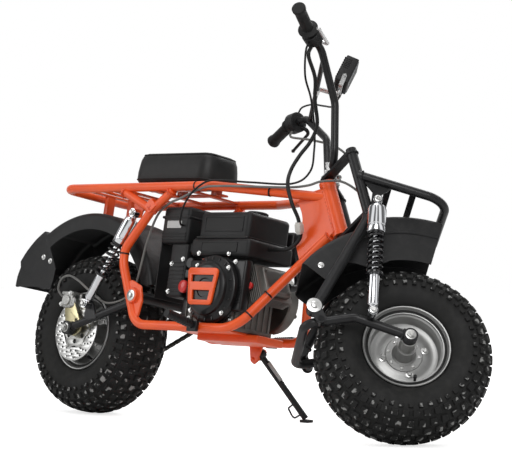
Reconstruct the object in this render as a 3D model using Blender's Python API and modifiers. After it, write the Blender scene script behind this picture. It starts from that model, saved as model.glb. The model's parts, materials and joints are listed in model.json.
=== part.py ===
"""A small fat-tyred motorcycle, parked on its side stand with the steering at its left stop.

Everything is modelled in the upright machine's own coordinates: X forward, Y left, Z up, with
the origin under the rear axle. Four empties then pose it: "chassis" leans the machine onto its
stand, "steering" turns the fork about the raked axis, and one empty sits on each other axis.
All lengths are metres.
"""
import math

import bmesh
import bpy
import numpy as np
from mathutils import Matrix, Vector, geometry

# Driving dimensions
GAP = 0.0003            # what touching pieces keep between them
TYRE_D = 0.483          # 19 inch balloon tyre
TYRE_W = 0.178          # 7 inch section
RIM_FLANGE_R = 0.119    # 8 inch wheel, over its flanges
RIM_SEAT_R = 0.101
RIM_HALF_W = 0.074
RIM_WALL = 0.004
WHEELBASE = 1.215
AXLE_Z = 0.2415         # height of both axles in this frame of reference
RAKE = math.radians(28.2)
STEER_OFFSET = 0.087    # front axle ahead of the steering axis, level with the axle
LEAN = math.radians(10.85)
STEER_LOCK = math.radians(50.9)

TUBE_R = 0.0135         # frame tube
RAIL_Z = 0.672
LOW_RAIL_Z = 0.260
NECK_Y = 0.030          # the rails and down tubes close in to this at the neck
HEAD_R = 0.022
HEAD_LOW, HEAD_HIGH = 0.350, 0.524   # head tube ends, measured up the steering axis

PIVOT = (0.295, 0.344)  # swing arm pivot, x and z
ARM_R = 0.0115
AXLE_R = 0.0075
HUB_R = 0.027
CHAIN_Y = TYRE_W / 2 + 0.0115
CHAIN_HALF_W = 0.006
ARM_AXLE_Y = CHAIN_Y + 0.0285
ARM_PIVOT_Y = CHAIN_Y + 0.0115
SIDE_Y = ARM_PIVOT_Y + 0.031      # centre plane of each side loop and rail
SPROCKET_R = 0.105
OUTPUT = (0.470, 0.390)  # output sprocket, x and z
OUTPUT_R = 0.032
DISC_R = 0.096
DISC_Y = -TYRE_W / 2 - 0.009

CRANK = (0.603, 0.372)  # engine shaft, x and z
RECOIL_R = 0.098
RECOIL_FACE_Y = -0.160

FORK_Y = TYRE_W / 2 + 0.046
FORK_R = 0.0150
LINK_R = 0.0125
LINK_Y = TYRE_W / 2 + 0.041
LINK_PIVOT = (WHEELBASE - 0.267, 0.236)
SHOCK_Y = FORK_Y + 0.040
SHOCK_TOP = (WHEELBASE - 0.184, 0.590)   # x and z of the front shock eyes
SHOCK_FOOT = (WHEELBASE - 0.114, 0.258)
EYE_HALF = 0.012         # half width of a shock absorber's eye
LUG_T = 0.006
REAR_SHOCK_Y = SIDE_Y + 0.004
REAR_SHOCK_TOP = (0.248, 0.593)
REAR_SHOCK_FOOT = (0.086, 0.315)
REAR_FENDER_R = 0.364
FRONT_FENDER_R = 0.361
FENDER_HALF_W = TYRE_W / 2 + 0.013
FENDER_WALL = 0.003
BAR_R = 0.0111
GRIP_END_Y = 0.358

TYRE_R = TYRE_D / 2
REAR_AXLE = Vector((0.0, 0.0, AXLE_Z))
FRONT_AXLE = Vector((WHEELBASE, 0.0, AXLE_Z))
STEER_FOOT = Vector((WHEELBASE - STEER_OFFSET, 0.0, AXLE_Z))
STEER_UP = Vector((-math.sin(RAKE), 0.0, math.cos(RAKE)))
STEER_FORE = Vector((math.cos(RAKE), 0.0, math.sin(RAKE)))

for leftover in list(bpy.data.objects):
    bpy.data.objects.remove(leftover)
PARTS = bpy.data.collections.new("motorcycle")
bpy.context.scene.collection.children.link(PARTS)


# Materials
def material(name, colour, roughness, metallic=0.0):
    made = bpy.data.materials.new(name)
    made.use_nodes = True
    shader = made.node_tree.nodes["Principled BSDF"]
    shader.inputs["Base Color"].default_value = (*colour, 1.0)
    shader.inputs["Roughness"].default_value = roughness
    shader.inputs["Metallic"].default_value = metallic
    return made


ORANGE = material("orange_paint", (0.83, 0.12, 0.035), 0.35)
BLACK = material("black_paint", (0.012, 0.012, 0.013), 0.45)
PLASTIC = material("black_plastic", (0.016, 0.017, 0.017), 0.55)
RUBBER = material("rubber", (0.014, 0.014, 0.014), 0.75)
STEEL = material("steel", (0.55, 0.55, 0.54), 0.30, 1.0)
CHROME = material("chrome", (0.75, 0.76, 0.78), 0.10, 1.0)
CAST = material("cast_aluminium", (0.30, 0.28, 0.26), 0.50, 1.0)
VINYL = material("black_vinyl", (0.018, 0.018, 0.018), 0.60)


# Shape builders, each giving an object whose mesh is in machine coordinates
def evaluated_mesh(obj):
    bpy.context.view_layer.update()
    graph = bpy.context.evaluated_depsgraph_get()
    return bpy.data.meshes.new_from_object(obj.evaluated_get(graph))


def solid(mesh):
    """An object around the mesh, welded and with its faces pointing out."""
    shape = bmesh.new()
    shape.from_mesh(mesh)
    bmesh.ops.remove_doubles(shape, verts=shape.verts, dist=1e-6)
    bmesh.ops.recalc_face_normals(shape, faces=shape.faces)
    if shape.calc_volume(signed=True) < 0:
        bmesh.ops.reverse_faces(shape, faces=shape.faces)
    shape.to_mesh(mesh)
    shape.free()
    obj = bpy.data.objects.new("shape", mesh)
    PARTS.objects.link(obj)
    return obj


def from_curve(curve, matrix=Matrix()):
    guide = bpy.data.objects.new("guide", curve)
    PARTS.objects.link(guide)
    mesh = evaluated_mesh(guide)
    bpy.data.objects.remove(guide)
    mesh.transform(matrix)
    return solid(mesh)


def tube(points, radius, closed=False, around=3):
    curve = bpy.data.curves.new("tube", "CURVE")
    curve.dimensions = "3D"
    curve.bevel_depth = radius
    curve.bevel_resolution = around
    curve.use_fill_caps = True
    curve.render_resolution_u = 0
    spline = curve.splines.new("POLY")
    spline.points.add(len(points) - 1)
    for point, place in zip(spline.points, points):
        point.co = (*place, 1.0)
    spline.use_cyclic_u = closed
    return from_curve(curve)


def bent(points, radius, steps=4, closed=False):
    """The polyline with each corner rounded to the radius."""
    places = [Vector(point) for point in points]
    count = len(places)
    corners = range(count) if closed else range(1, count - 1)
    path = [] if closed else [places[0]]
    for index in corners:
        before, here, after = places[index - 1], places[index], places[(index + 1) % count]
        back, onward = (before - here).normalized(), (after - here).normalized()
        angle = back.angle(onward)
        if math.pi - angle < 0.02:
            path.append(here)
            continue
        reach = radius / math.tan(angle / 2)
        centre = here + (back + onward).normalized() * radius / math.sin(angle / 2)
        start, stop = here + back * reach - centre, here + onward * reach - centre
        turn = start.angle(stop)
        for step in range(steps + 1):
            part = turn * step / steps
            path.append(centre + start * (math.sin(turn - part) / math.sin(turn))
                        + stop * (math.sin(part) / math.sin(turn)))
    if not closed:
        path.append(places[-1])
    return path


def smooth(points, spacing):
    """Points along a Catmull-Rom curve through the given ones, about a spacing apart."""
    places = [Vector(point) for point in points]
    ends = [2 * places[0] - places[1]] + places + [2 * places[-1] - places[-2]]
    path = []
    for before, start, stop, after in zip(ends, ends[1:], ends[2:], ends[3:]):
        steps = max(1, round((stop - start).length / spacing))
        for step in range(steps):
            t = step / steps
            path.append(0.5 * (2 * start + (stop - before) * t
                               + (2 * before - 5 * start + 4 * stop - after) * t ** 2
                               + (3 * start - before - 3 * stop + after) * t ** 3))
    return path + [places[-1]]


def aim(place, direction):
    """The matrix that stands +Z along the direction at the place."""
    turn = Vector((0, 0, 1)).rotation_difference(Vector(direction).normalized())
    return Matrix.Translation(place) @ turn.to_matrix().to_4x4()


def turned(profile, place, direction, steps=32, ring=False):
    """The profile of (radius, height) points spun about the direction."""
    mesh = bpy.data.meshes.new("profile")
    edges = [(index, index + 1) for index in range(len(profile) - 1)]
    if ring:
        edges.append((len(profile) - 1, 0))
    mesh.from_pydata([(r, 0.0, h) for r, h in profile], edges, [])
    guide = bpy.data.objects.new("guide", mesh)
    PARTS.objects.link(guide)
    screw = guide.modifiers.new("spin", "SCREW")
    screw.steps = screw.render_steps = steps
    screw.use_merge_vertices = True
    screw.merge_threshold = 1e-5
    spun = evaluated_mesh(guide)
    bpy.data.objects.remove(guide)
    spun.transform(aim(place, direction))
    return solid(spun)


def room(radius, sides=16):
    """The radius of a cutter that leaves the gap round a piece of this radius."""
    return (radius + GAP) / math.cos(math.pi / sides)


def rod(start, stop, radius, steps=16):
    start, stop = Vector(start), Vector(stop)
    length = (stop - start).length
    return turned([(0, 0), (radius, 0), (radius, length), (0, length)], start, stop - start, steps)


def block(size, centre, turn=Matrix(), edge=0.0, segments=2):
    shape = bmesh.new()
    bmesh.ops.create_cube(shape, size=1.0, matrix=Matrix.Diagonal((*size, 1.0)))
    mesh = bpy.data.meshes.new("block")
    shape.to_mesh(mesh)
    shape.free()
    if edge:
        guide = bpy.data.objects.new("guide", mesh)
        PARTS.objects.link(guide)
        bevel = guide.modifiers.new("edge", "BEVEL")
        bevel.width = edge
        bevel.segments = segments
        mesh = evaluated_mesh(guide)
        bpy.data.objects.remove(guide)
    mesh.transform(Matrix.Translation(centre) @ turn)
    return solid(mesh)


def grown(outline, by):
    """The outline of (x, z) points with each point moved outwards by about the distance."""
    places = [Vector(point) for point in outline]
    area = sum(a.cross(b) for a, b in zip(places, places[1:] + places[:1]))
    moved = []
    for index, here in enumerate(places):
        into = (here - places[index - 1]).normalized()
        onward = (places[(index + 1) % len(places)] - here).normalized()
        normal = Vector((into.y + onward.y, -into.x - onward.x)).normalized()
        moved.append(here + normal * by * math.copysign(1, area))
    return moved


def plate(outline, y_low, y_high, holes=(), turn=Matrix()):
    """A flat outline of (x, z) points, standing in the XZ plane between two y values."""
    curve = bpy.data.curves.new("outline", "CURVE")
    curve.dimensions = "2D"
    curve.fill_mode = "BOTH"
    curve.extrude = (y_high - y_low) / 2
    curve.render_resolution_u = 0
    for loop in (outline, *holes):
        spline = curve.splines.new("POLY")
        spline.points.add(len(loop) - 1)
        for point, (x, z) in zip(spline.points, loop):
            point.co = (x, z, 0.0, 1.0)
        spline.use_cyclic_u = True
    stand = Matrix.Translation((0, (y_low + y_high) / 2, 0)) @ Matrix.Rotation(math.pi / 2, 4, "X")
    return from_curve(curve, turn @ stand)


def arc(centre, radius, start, stop, steps):
    """(x, z) points of an arc between two angles in degrees."""
    angles = np.radians(np.linspace(start, stop, steps + 1))
    return [(centre[0] + radius * math.cos(a), centre[1] + radius * math.sin(a)) for a in angles]


def combine(target, others, operation="UNION"):
    for other in others:
        step = target.modifiers.new("combine", "BOOLEAN")
        step.operation = operation
        step.solver = "EXACT"
        step.object = other
    mesh = evaluated_mesh(target)
    for other in others:
        bpy.data.objects.remove(other)
    bpy.data.objects.remove(target)
    return solid(mesh)


def join(*shapes):
    return combine(shapes[0], shapes[1:])


def cut(target, *cutters):
    return combine(target, cutters, "DIFFERENCE")


def mirrored(obj):
    """A copy on the other side of the machine's middle plane."""
    mesh = obj.data.copy()
    mesh.transform(Matrix.Diagonal((1, -1, 1, 1)))
    mesh.flip_normals()
    return solid(mesh)


# The five bodies, each an empty on its own axis
def home(empty):
    return Vector(empty["home"])


def make_body(name, parent, place):
    empty = bpy.data.objects.new(name, None)
    PARTS.objects.link(empty)
    if parent:
        empty.parent = parent
        empty.location = Vector(place) - home(parent)
    empty["home"] = Vector(place)
    return empty


CHASSIS = make_body("chassis", None, (0, 0, 0))
STEERING = make_body("steering", CHASSIS, STEER_FOOT)
STEERING.rotation_mode = "AXIS_ANGLE"
STEERING.rotation_axis_angle = (STEER_LOCK, *STEER_UP)
FRONT_WHEEL = make_body("front_wheel", STEERING, FRONT_AXLE)
REAR_WHEEL = make_body("rear_wheel", CHASSIS, REAR_AXLE)
STAND_PIVOT = Vector((0.535, SIDE_Y + 0.029, 0.226))
STAND_AXIS = Vector((0.14, 0.70, 0.69)).normalized()
STAND_BOSS_HALF, STAND_BOSS_R, STAND_PIN_R = 0.0125, 0.014, 0.005
SIDE_STAND = make_body("side_stand_pivot", CHASSIS, STAND_PIVOT)


def node(name, obj, look, parent):
    obj.name = name
    obj.data.name = name
    obj.data.materials.clear()
    obj.data.materials.append(look)
    obj.data.shade_smooth()
    obj.data.set_sharp_from_angle(angle=math.radians(35))
    obj.parent = parent
    obj.matrix_parent_inverse = Matrix.Translation(-home(parent))
    return obj


# Wheels
LUG_H = 0.006            # height of the tread blocks
LUG_STEPS = 56           # half of them carry blocks, so the pitch is two steps


def tyre_profile():
    crown = TYRE_R - LUG_H
    half = [(RIM_SEAT_R + GAP, RIM_HALF_W - 0.008), (RIM_FLANGE_R + GAP, RIM_HALF_W - 0.007),
            (0.150, TYRE_W / 2), (crown - 0.032, TYRE_W / 2 - 0.005), (crown - 0.011, 0.060),
            (crown, 0.019)]
    return half + [(r, -y) for r, y in reversed(half)]


def tyre(axle):
    """The profile spun about the axle, with every second cell of the tread bands raised."""
    profile = tyre_profile()
    count = len(profile)
    shape = bmesh.new()
    rings = []
    for step in range(LUG_STEPS):
        angle = 2 * math.pi * step / LUG_STEPS
        rings.append([shape.verts.new((axle.x + r * math.cos(angle), y, axle.z + r * math.sin(angle)))
                      for r, y in profile])
    blocks = []
    for step, ring in enumerate(rings):
        after = rings[(step + 1) % LUG_STEPS]
        for index in range(count):
            onward = (index + 1) % count
            face = shape.faces.new((ring[index], ring[onward], after[onward], after[index]))
            column = abs(index - (count // 2 - 1))
            if column < 3 and (column + step) % 2:
                blocks.append(face)
    shape.normal_update()
    if blocks[0].normal.dot(blocks[0].calc_center_median() - axle) < 0:
        bmesh.ops.reverse_faces(shape, faces=shape.faces)
    shape.normal_update()
    for face in blocks:
        out = face.normal * LUG_H
        centre = face.calc_center_median()
        lower = [loop.vert for loop in face.loops]
        upper = [shape.verts.new(centre + (vert.co - centre) * 0.86 + out) for vert in lower]
        shape.faces.remove(face)
        shape.faces.new(upper)
        for index, vert in enumerate(lower):
            onward = (index + 1) % len(lower)
            shape.faces.new((vert, lower[onward], upper[onward], upper[index]))
    mesh = bpy.data.meshes.new("tyre")
    shape.to_mesh(mesh)
    shape.free()
    return solid(mesh)


def rim_profile(dish_y, hub_half):
    inner = RIM_SEAT_R - RIM_WALL
    bore = AXLE_R + 0.0005
    return [(RIM_FLANGE_R, -RIM_HALF_W), (RIM_FLANGE_R, -RIM_HALF_W + 0.005),
            (RIM_SEAT_R, -RIM_HALF_W + 0.008), (RIM_SEAT_R, RIM_HALF_W - 0.008),
            (RIM_FLANGE_R, RIM_HALF_W - 0.005), (RIM_FLANGE_R, RIM_HALF_W),
            (inner, RIM_HALF_W - 0.003), (inner, dish_y + 0.003), (HUB_R, dish_y + 0.003),
            (HUB_R, hub_half), (bore, hub_half), (bore, -hub_half), (HUB_R, -hub_half),
            (HUB_R, dish_y - 0.003), (inner, dish_y - 0.003), (inner, -RIM_HALF_W + 0.003)]


HUB_HALF = 0.070
LEFT = Vector((0, 1, 0))
for label, axle, wheel, dish_y in (("rear", REAR_AXLE, REAR_WHEEL, 0.020),
                                   ("front", FRONT_AXLE, FRONT_WHEEL, -0.012)):
    node(label + "_tyre", tyre(axle), RUBBER, wheel)
    node(label + "_rim", turned(rim_profile(dish_y, HUB_HALF), axle, LEFT, 24, ring=True),
         STEEL, wheel)

# Brake disc and its carrier on the right of the rear hub
disc = turned([(0.010, DISC_Y - 0.002), (DISC_R, DISC_Y - 0.002), (DISC_R, DISC_Y + 0.002),
               (0.034, DISC_Y + 0.002), (0.030, -HUB_HALF - GAP), (0.010, -HUB_HALF - GAP)],
              REAR_AXLE, LEFT, 24, ring=True)
node("brake_disc", disc, STEEL, REAR_WHEEL)

# Rear sprocket and its carrier on the left of the hub
ROLLER_R = 0.0043
SPROCKET_TIP = SPROCKET_R - ROLLER_R - 0.001
sprocket = turned([(0.010, HUB_HALF + GAP), (0.032, HUB_HALF + GAP), (0.034, CHAIN_Y - 0.002),
                   (SPROCKET_TIP, CHAIN_Y - 0.002), (SPROCKET_TIP, CHAIN_Y + 0.002),
                   (0.010, CHAIN_Y + 0.002)], REAR_AXLE, LEFT, 24, ring=True)
node("rear_sprocket", sprocket, STEEL, REAR_WHEEL)


# Drive chain: one fixed loop around both sprockets
def chain_line(offset, steps=20):
    """The chain's closed outline, moved outwards from the pitch line by the offset."""
    span = Vector((OUTPUT[0], OUTPUT[1] - AXLE_Z))
    slope = math.degrees(math.atan2(span.y, span.x))
    spread = math.degrees(math.acos((SPROCKET_R - OUTPUT_R) / span.length))
    rear = arc((0.0, AXLE_Z), SPROCKET_R + offset, slope + spread, slope + 360 - spread, steps)
    front = arc(OUTPUT, OUTPUT_R + offset, slope - spread, slope + spread, steps // 2)
    return rear + front


CHAIN_HALF_H = 0.006
chain = plate(chain_line(CHAIN_HALF_H), CHAIN_Y - CHAIN_HALF_W, CHAIN_Y + CHAIN_HALF_W,
              [chain_line(-ROLLER_R)])
node("drive_chain", chain, BLACK, CHASSIS)


# Frame
def both(path):
    return [path, [(x, -y, z) for x, y, z in path]]


head_low = STEER_FOOT + STEER_UP * HEAD_LOW
head_high = STEER_FOOT + STEER_UP * HEAD_HIGH
STEM_R = 0.0125
NECK_HALF = 0.024
NECK_X = STEER_FOOT.x - 0.283        # lower rear corner of the neck gusset
gusset_outline = ([(NECK_X, 0.452), (NECK_X + 0.110, 0.560), (NECK_X + 0.048, 0.686),
                   (NECK_X - 0.027, 0.668)] + arc((NECK_X - 0.110, 0.575), 0.090, 50, -35, 8))
gusset = plate(gusset_outline, -NECK_HALF, NECK_HALF)
head = join(turned([(HEAD_R, 0), (HEAD_R, HEAD_HIGH - HEAD_LOW),
                    (0, HEAD_HIGH - HEAD_LOW), (0, 0)], head_low, STEER_UP, 24, ring=True), gusset)
bore = rod(head_low - STEER_UP * 0.02, head_high + STEER_UP * 0.02, STEM_R + 0.001, 20)
head = cut(head, bore)
node("frame_neck", head, ORANGE, CHASSIS)

STAY_JOINT = (0.322, 0.606)
loop_path = [(STAY_JOINT[0], SIDE_Y, STAY_JOINT[1]), (0.224, SIDE_Y, 0.485),
             (0.226, SIDE_Y, 0.440), (0.300, SIDE_Y, 0.270), (0.330, SIDE_Y, LOW_RAIL_Z),
             (NECK_X - 0.110, SIDE_Y, LOW_RAIL_Z), (NECK_X - 0.007, NECK_Y, 0.462)]
loop_line = (bent(loop_path[:3], 0.05)[:-1] + bent(loop_path[1:4], 0.08)[1:-1]
             + bent(loop_path[2:6], 0.035)[-6:-1] + bent(loop_path[4:], 0.09)[1:])
stay_line = [(0.182, SIDE_Y, RAIL_Z - TUBE_R - 0.002), (0.318, SIDE_Y, 0.603)]
fore_line = [(0.402, SIDE_Y, RAIL_Z - TUBE_R - 0.002), (0.320, SIDE_Y, 0.602)]
pivot_plate = plate([(0.262, 0.395), (0.322, 0.372), (0.332, 0.330), (0.325, 0.285),
                     (0.300, 0.275)], SIDE_Y - 0.004, SIDE_Y + 0.004)
boss = rod((PIVOT[0], SIDE_Y - 0.016, PIVOT[1]), (PIVOT[0], SIDE_Y + 0.014, PIVOT[1]), 0.022, 24)
lug_y = REAR_SHOCK_Y - EYE_HALF - GAP
top_lug = plate([(0.222, 0.642), (0.278, 0.624), (REAR_SHOCK_TOP[0] + 0.014, REAR_SHOCK_TOP[1] - 0.012),
                 (REAR_SHOCK_TOP[0] - 0.012, REAR_SHOCK_TOP[1] - 0.012)], lug_y - LUG_T, lug_y)
left_loop = join(tube(loop_line, TUBE_R), tube(stay_line, TUBE_R - 0.001),
                 tube(fore_line, TUBE_R - 0.001), pivot_plate, boss, top_lug)
PIN_R = 0.0070
pin_hole = rod((PIVOT[0], 0.08, PIVOT[1]), (PIVOT[0], 0.20, PIVOT[1]), room(PIN_R))
rail_room = tube([(0.0, SIDE_Y, RAIL_Z), (0.5, SIDE_Y, RAIL_Z)], room(TUBE_R, 10))
neck_room = plate(grown(gusset_outline, 0.0006), -NECK_HALF - GAP, NECK_HALF + GAP)
left_loop = cut(left_loop, pin_hole, rail_room, neck_room)
node("frame_loop_right", mirrored(left_loop), ORANGE, CHASSIS)


def on_stand(along):
    return STAND_PIVOT + STAND_AXIS * along


stand_plate = plate([(STAND_PIVOT.x - 0.028, LOW_RAIL_Z), (STAND_PIVOT.x + 0.034, LOW_RAIL_Z),
                     (STAND_PIVOT.x + 0.014, 0.200), (STAND_PIVOT.x - 0.014, 0.200)],
                    SIDE_Y + 0.002, SIDE_Y + 0.008)
left_loop = join(left_loop, stand_plate,
                 rod(on_stand(-0.034), on_stand(-STAND_BOSS_HALF - GAP), 0.011),
                 rod(on_stand(-0.020), on_stand(STAND_BOSS_HALF + 0.004), STAND_PIN_R),
                 rod(on_stand(STAND_BOSS_HALF + GAP), on_stand(STAND_BOSS_HALF + 0.006), 0.009))
node("frame_loop_left", left_loop, ORANGE, CHASSIS)

# Top rails run from the neck back to the luggage rack, closed by slats
RACK_END_X = -0.100
SLATS = (-0.045, 0.010, 0.065, 0.120, 0.235, 0.385)
RAIL_NECK_Z = 0.662
RAIL_BEND_X = NECK_X - 0.285         # where the rails start to close in
rails = bent([(NECK_X - 0.010, NECK_Y + 0.004, RAIL_NECK_Z), (RAIL_BEND_X, SIDE_Y, RAIL_Z),
              (RACK_END_X, SIDE_Y, RAIL_Z), (RACK_END_X, -SIDE_Y, RAIL_Z),
              (RAIL_BEND_X, -SIDE_Y, RAIL_Z), (NECK_X - 0.010, -NECK_Y - 0.004, RAIL_NECK_Z)], 0.045)
SLAT_T = 0.006
slats = [block((0.022, 2 * SIDE_Y, SLAT_T), (x, 0, RAIL_Z + 0.004)) for x in SLATS]
STRUT_L, STRUT_W = 0.016, 0.030
struts = []
for x in (SLATS[0], SLATS[2]):
    foot_z = AXLE_Z + math.sqrt(REAR_FENDER_R ** 2 - (abs(x) - STRUT_L / 2) ** 2) + GAP
    slat_z = RAIL_Z + 0.004
    struts.append(block((STRUT_L, STRUT_W, slat_z - foot_z), (x, 0, (slat_z + foot_z) / 2)))
seat_rails = [block((0.24, 0.024, 0.006), (0.305, y, RAIL_Z + 0.010)) for y in (-0.045, 0.045)]
posts = [block((0.024, 0.024, 0.022), (x, y, RAIL_Z + 0.019))
         for x in (0.235, 0.385) for y in (-0.045, 0.045)]
rack = join(tube(rails, TUBE_R), *slats, *struts, *seat_rails, *posts)
rack = cut(rack, plate(grown(gusset_outline, 0.0006), -NECK_HALF - GAP, NECK_HALF + GAP),
           rod(head_low, head_high, room(HEAD_R, 24), 24))
node("frame_rails", rack, ORANGE, CHASSIS)

# Engine bed between the lower rails
BED_TOP = 0.263
bed = block((0.255, 2 * (SIDE_Y - TUBE_R - GAP), 0.006), (0.5375, 0, BED_TOP - 0.003))
skid = block((0.250, 0.11, 0.022), (0.585, 0.030, BED_TOP - 0.014), edge=0.004, segments=1)
node("engine_bed", join(bed, skid), ORANGE, CHASSIS)

# Seat: a padded block, wider at its base, with a rounded and slightly dished top
SEAT_Z = RAIL_Z + 0.031
SEAT_H = 0.092
SEAT_FRONT_X, SEAT_REAR_X = 0.462, 0.148
seat_plan = (arc((SEAT_FRONT_X - 0.050, 0.028), 0.050, 90, 0, 4)
             + arc((SEAT_FRONT_X - 0.050, -0.028), 0.050, 0, -90, 4)
             + arc((SEAT_REAR_X + 0.035, -0.053), 0.035, 270, 180, 3)
             + arc((SEAT_REAR_X + 0.035, 0.053), 0.035, 180, 90, 3))


def lofted(plan, levels):
    """Closed levels of one plan, each (height, inset), joined into a body."""
    shape = bmesh.new()
    rings = [[shape.verts.new((x, y, height)) for x, y in grown(plan, -inset)]
             for height, inset in levels]
    for ring, above in zip(rings, rings[1:]):
        for index in range(len(ring)):
            onward = (index + 1) % len(ring)
            shape.faces.new((ring[index], ring[onward], above[onward], above[index]))
    shape.faces.new(rings[0])
    shape.faces.new(rings[-1])
    mesh = bpy.data.meshes.new("loft")
    shape.to_mesh(mesh)
    shape.free()
    return solid(mesh)


cushion = lofted(seat_plan, [(SEAT_Z, 0.003), (SEAT_Z + 0.010, 0.0), (SEAT_Z + 0.030, 0.0),
                             (SEAT_Z + SEAT_H * 0.78, 0.006), (SEAT_Z + SEAT_H * 0.93, 0.013),
                             (SEAT_Z + SEAT_H, 0.026)])
node("seat", cushion, VINYL, CHASSIS)

# Swing arm, its pivot bolt and the rear axle
BOSS_HALF = 0.0135
arms = []
for side in (-1, 1):
    start = Vector((PIVOT[0], side * ARM_PIVOT_Y, PIVOT[1]))
    end = Vector((0.0, side * ARM_AXLE_Y, AXLE_Z))
    arms.append(tube([start, end], ARM_R))
    arms.append(rod((0, side * (ARM_AXLE_Y - BOSS_HALF), AXLE_Z),
                    (0, side * (ARM_AXLE_Y + BOSS_HALF), AXLE_Z), 0.021, 14))
    lug_y = side * (REAR_SHOCK_Y - EYE_HALF - GAP - LUG_T / 2)
    arms.append(plate([(0.068, 0.262), (0.125, 0.275), (0.096, 0.326), (0.074, 0.326)],
                      lug_y - LUG_T / 2, lug_y + LUG_T / 2))
arms.append(rod((PIVOT[0], -ARM_PIVOT_Y - 0.0135, PIVOT[1]),
                (PIVOT[0], ARM_PIVOT_Y + 0.0135, PIVOT[1]), 0.017, 20))
arm = join(arms[-1], *arms[:-1])
arm = cut(arm, rod((PIVOT[0], -0.2, PIVOT[1]), (PIVOT[0], 0.2, PIVOT[1]), room(PIN_R)),
          rod((0, -0.2, AXLE_Z), (0, 0.2, AXLE_Z), room(AXLE_R)))
node("swing_arm", arm, BLACK, CHASSIS)


def pin(place, half, radius, head_r, head_t, collar=None):
    """A cross bolt along Y with heads from its half length out, and a spacer collar on each side
    given as (radius, start, end)."""
    profile = [(radius, half), (head_r, half), (head_r, half + head_t), (0, half + head_t)]
    if collar:
        collar_r, start, end = collar
        profile = [(radius, start), (collar_r, start), (collar_r, end), (radius, end)] + profile
    return turned([(r, -y) for r, y in reversed(profile)] + profile, place, LEFT, 12)


node("pivot_bolt", pin((PIVOT[0], 0, PIVOT[1]), SIDE_Y + 0.014 + GAP, PIN_R, 0.0165, 0.006),
     STEEL, CHASSIS)
SPACER_GAP = 0.0006
node("rear_axle", pin(REAR_AXLE, ARM_AXLE_Y + BOSS_HALF + GAP, AXLE_R, 0.0125, 0.008,
                      (0.0135, CHAIN_Y + 0.002 + SPACER_GAP, 0.0125 - DISC_Y - GAP)),
     STEEL, CHASSIS)


# Shock absorbers
def shock(top, foot, can_r, spring_r, tube_r, can_share):
    """A coil-over unit between two eye centres: can above, spring and lower tube."""
    top, foot = Vector(top), Vector(foot)
    length = (top - foot).length
    spring_top, spring_low = length * (1 - can_share), length * 0.34
    coils = 4
    profile = [(0, 0.004), (0.008, 0.004), (0.008, 0.014), (tube_r, 0.018), (tube_r, spring_low),
               (spring_r, spring_low), (spring_r, spring_low + 0.004)]
    pitch = (spring_top - spring_low - 0.004) / coils
    for turn in range(coils):
        low = spring_low + 0.004 + pitch * turn
        profile += [(tube_r, low + pitch * 0.2), (spring_r, low + pitch * 0.5),
                    (tube_r, low + pitch * 0.8)]
    profile += [(can_r, spring_top), (can_r, length - 0.024), (can_r * 0.7, length - 0.018),
                (0.008, length - 0.016), (0.008, length - 0.004), (0, length - 0.004)]
    unit = turned(profile, foot, top - foot, 10)
    eyes = [rod(end - LEFT * EYE_HALF, end + LEFT * EYE_HALF, 0.013, 11) for end in (top, foot)]
    return join(unit, *eyes)


for side, label in ((-1, "right"), (1, "left")):
    y = side * REAR_SHOCK_Y
    node("rear_shock_" + label, shock((REAR_SHOCK_TOP[0], y, REAR_SHOCK_TOP[1]),
                                      (REAR_SHOCK_FOOT[0], y, REAR_SHOCK_FOOT[1]),
                                      0.0195, 0.0212, 0.013, 0.32), CHROME, CHASSIS)


# Fenders
def fender(centre, stations, half_w=FENDER_HALF_W, wall=FENDER_WALL):
    """A wide mudguard: a channel swept round the axle through stations of (angle, radius of its
    crown, depth of its side skirts)."""
    shape = bmesh.new()
    rings = []
    for angle, radius, skirt in stations:
        section = [(half_w, -skirt), (half_w, -0.012), (half_w - 0.014, 0.0),
                   (-half_w + 0.014, 0.0), (-half_w, -0.012), (-half_w, -skirt),
                   (-half_w + wall, -skirt), (-half_w + wall, -0.012 - wall / 2),
                   (-half_w + 0.014, -wall), (half_w - 0.014, -wall),
                   (half_w - wall, -0.012 - wall / 2), (half_w - wall, -skirt)]
        turn = math.radians(angle)
        rings.append([shape.verts.new((centre[0] + (radius + drop) * math.cos(turn), y,
                                       centre[1] + (radius + drop) * math.sin(turn)))
                      for y, drop in section])
    for ring, after in zip(rings, rings[1:]):
        for index in range(len(ring)):
            onward = (index + 1) % len(ring)
            shape.faces.new((ring[index], ring[onward], after[onward], after[index]))
    shape.faces.new(rings[0])
    shape.faces.new(list(reversed(rings[-1])))
    mesh = bpy.data.meshes.new("fender")
    shape.to_mesh(mesh)
    shape.free()
    return solid(mesh)


def stretch(start, stop, steps, radius, skirt):
    return [(float(angle), radius, skirt) for angle in np.linspace(start, stop, steps + 1)]


# The rear one ends in a raised lip and a deeper mud flap
rear_guard = (stretch(50, 123, 10, REAR_FENDER_R, 0.052)
              + [(125.5, REAR_FENDER_R + 0.004, 0.058), (126.5, REAR_FENDER_R + 0.018, 0.150),
                 (133, REAR_FENDER_R + 0.022, 0.178), (141, REAR_FENDER_R + 0.024, 0.196),
                 (147, REAR_FENDER_R + 0.024, 0.165), (149, REAR_FENDER_R + 0.010, 0.128),
                 (154, REAR_FENDER_R + 0.004, 0.075), (158.5, REAR_FENDER_R - 0.006, 0.016)])
node("rear_fender", fender((0.0, AXLE_Z), rear_guard), PLASTIC, CHASSIS)

# Engine
ENGINE_FOOT = BED_TOP + GAP
case = block((0.207, 0.170, 0.190), (0.571, -0.018, ENGINE_FOOT + 0.095), edge=0.012, segments=1)
node("engine_block", case, CAST, CHASSIS)

tilt = Matrix.Rotation(math.radians(-25), 4, "Y")
cylinder = block((0.055, 0.130, 0.105), (0.7195, -0.008, 0.405), tilt, edge=0.006, segments=1)
node("cylinder_head", cylinder, CAST, CHASSIS)

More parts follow.
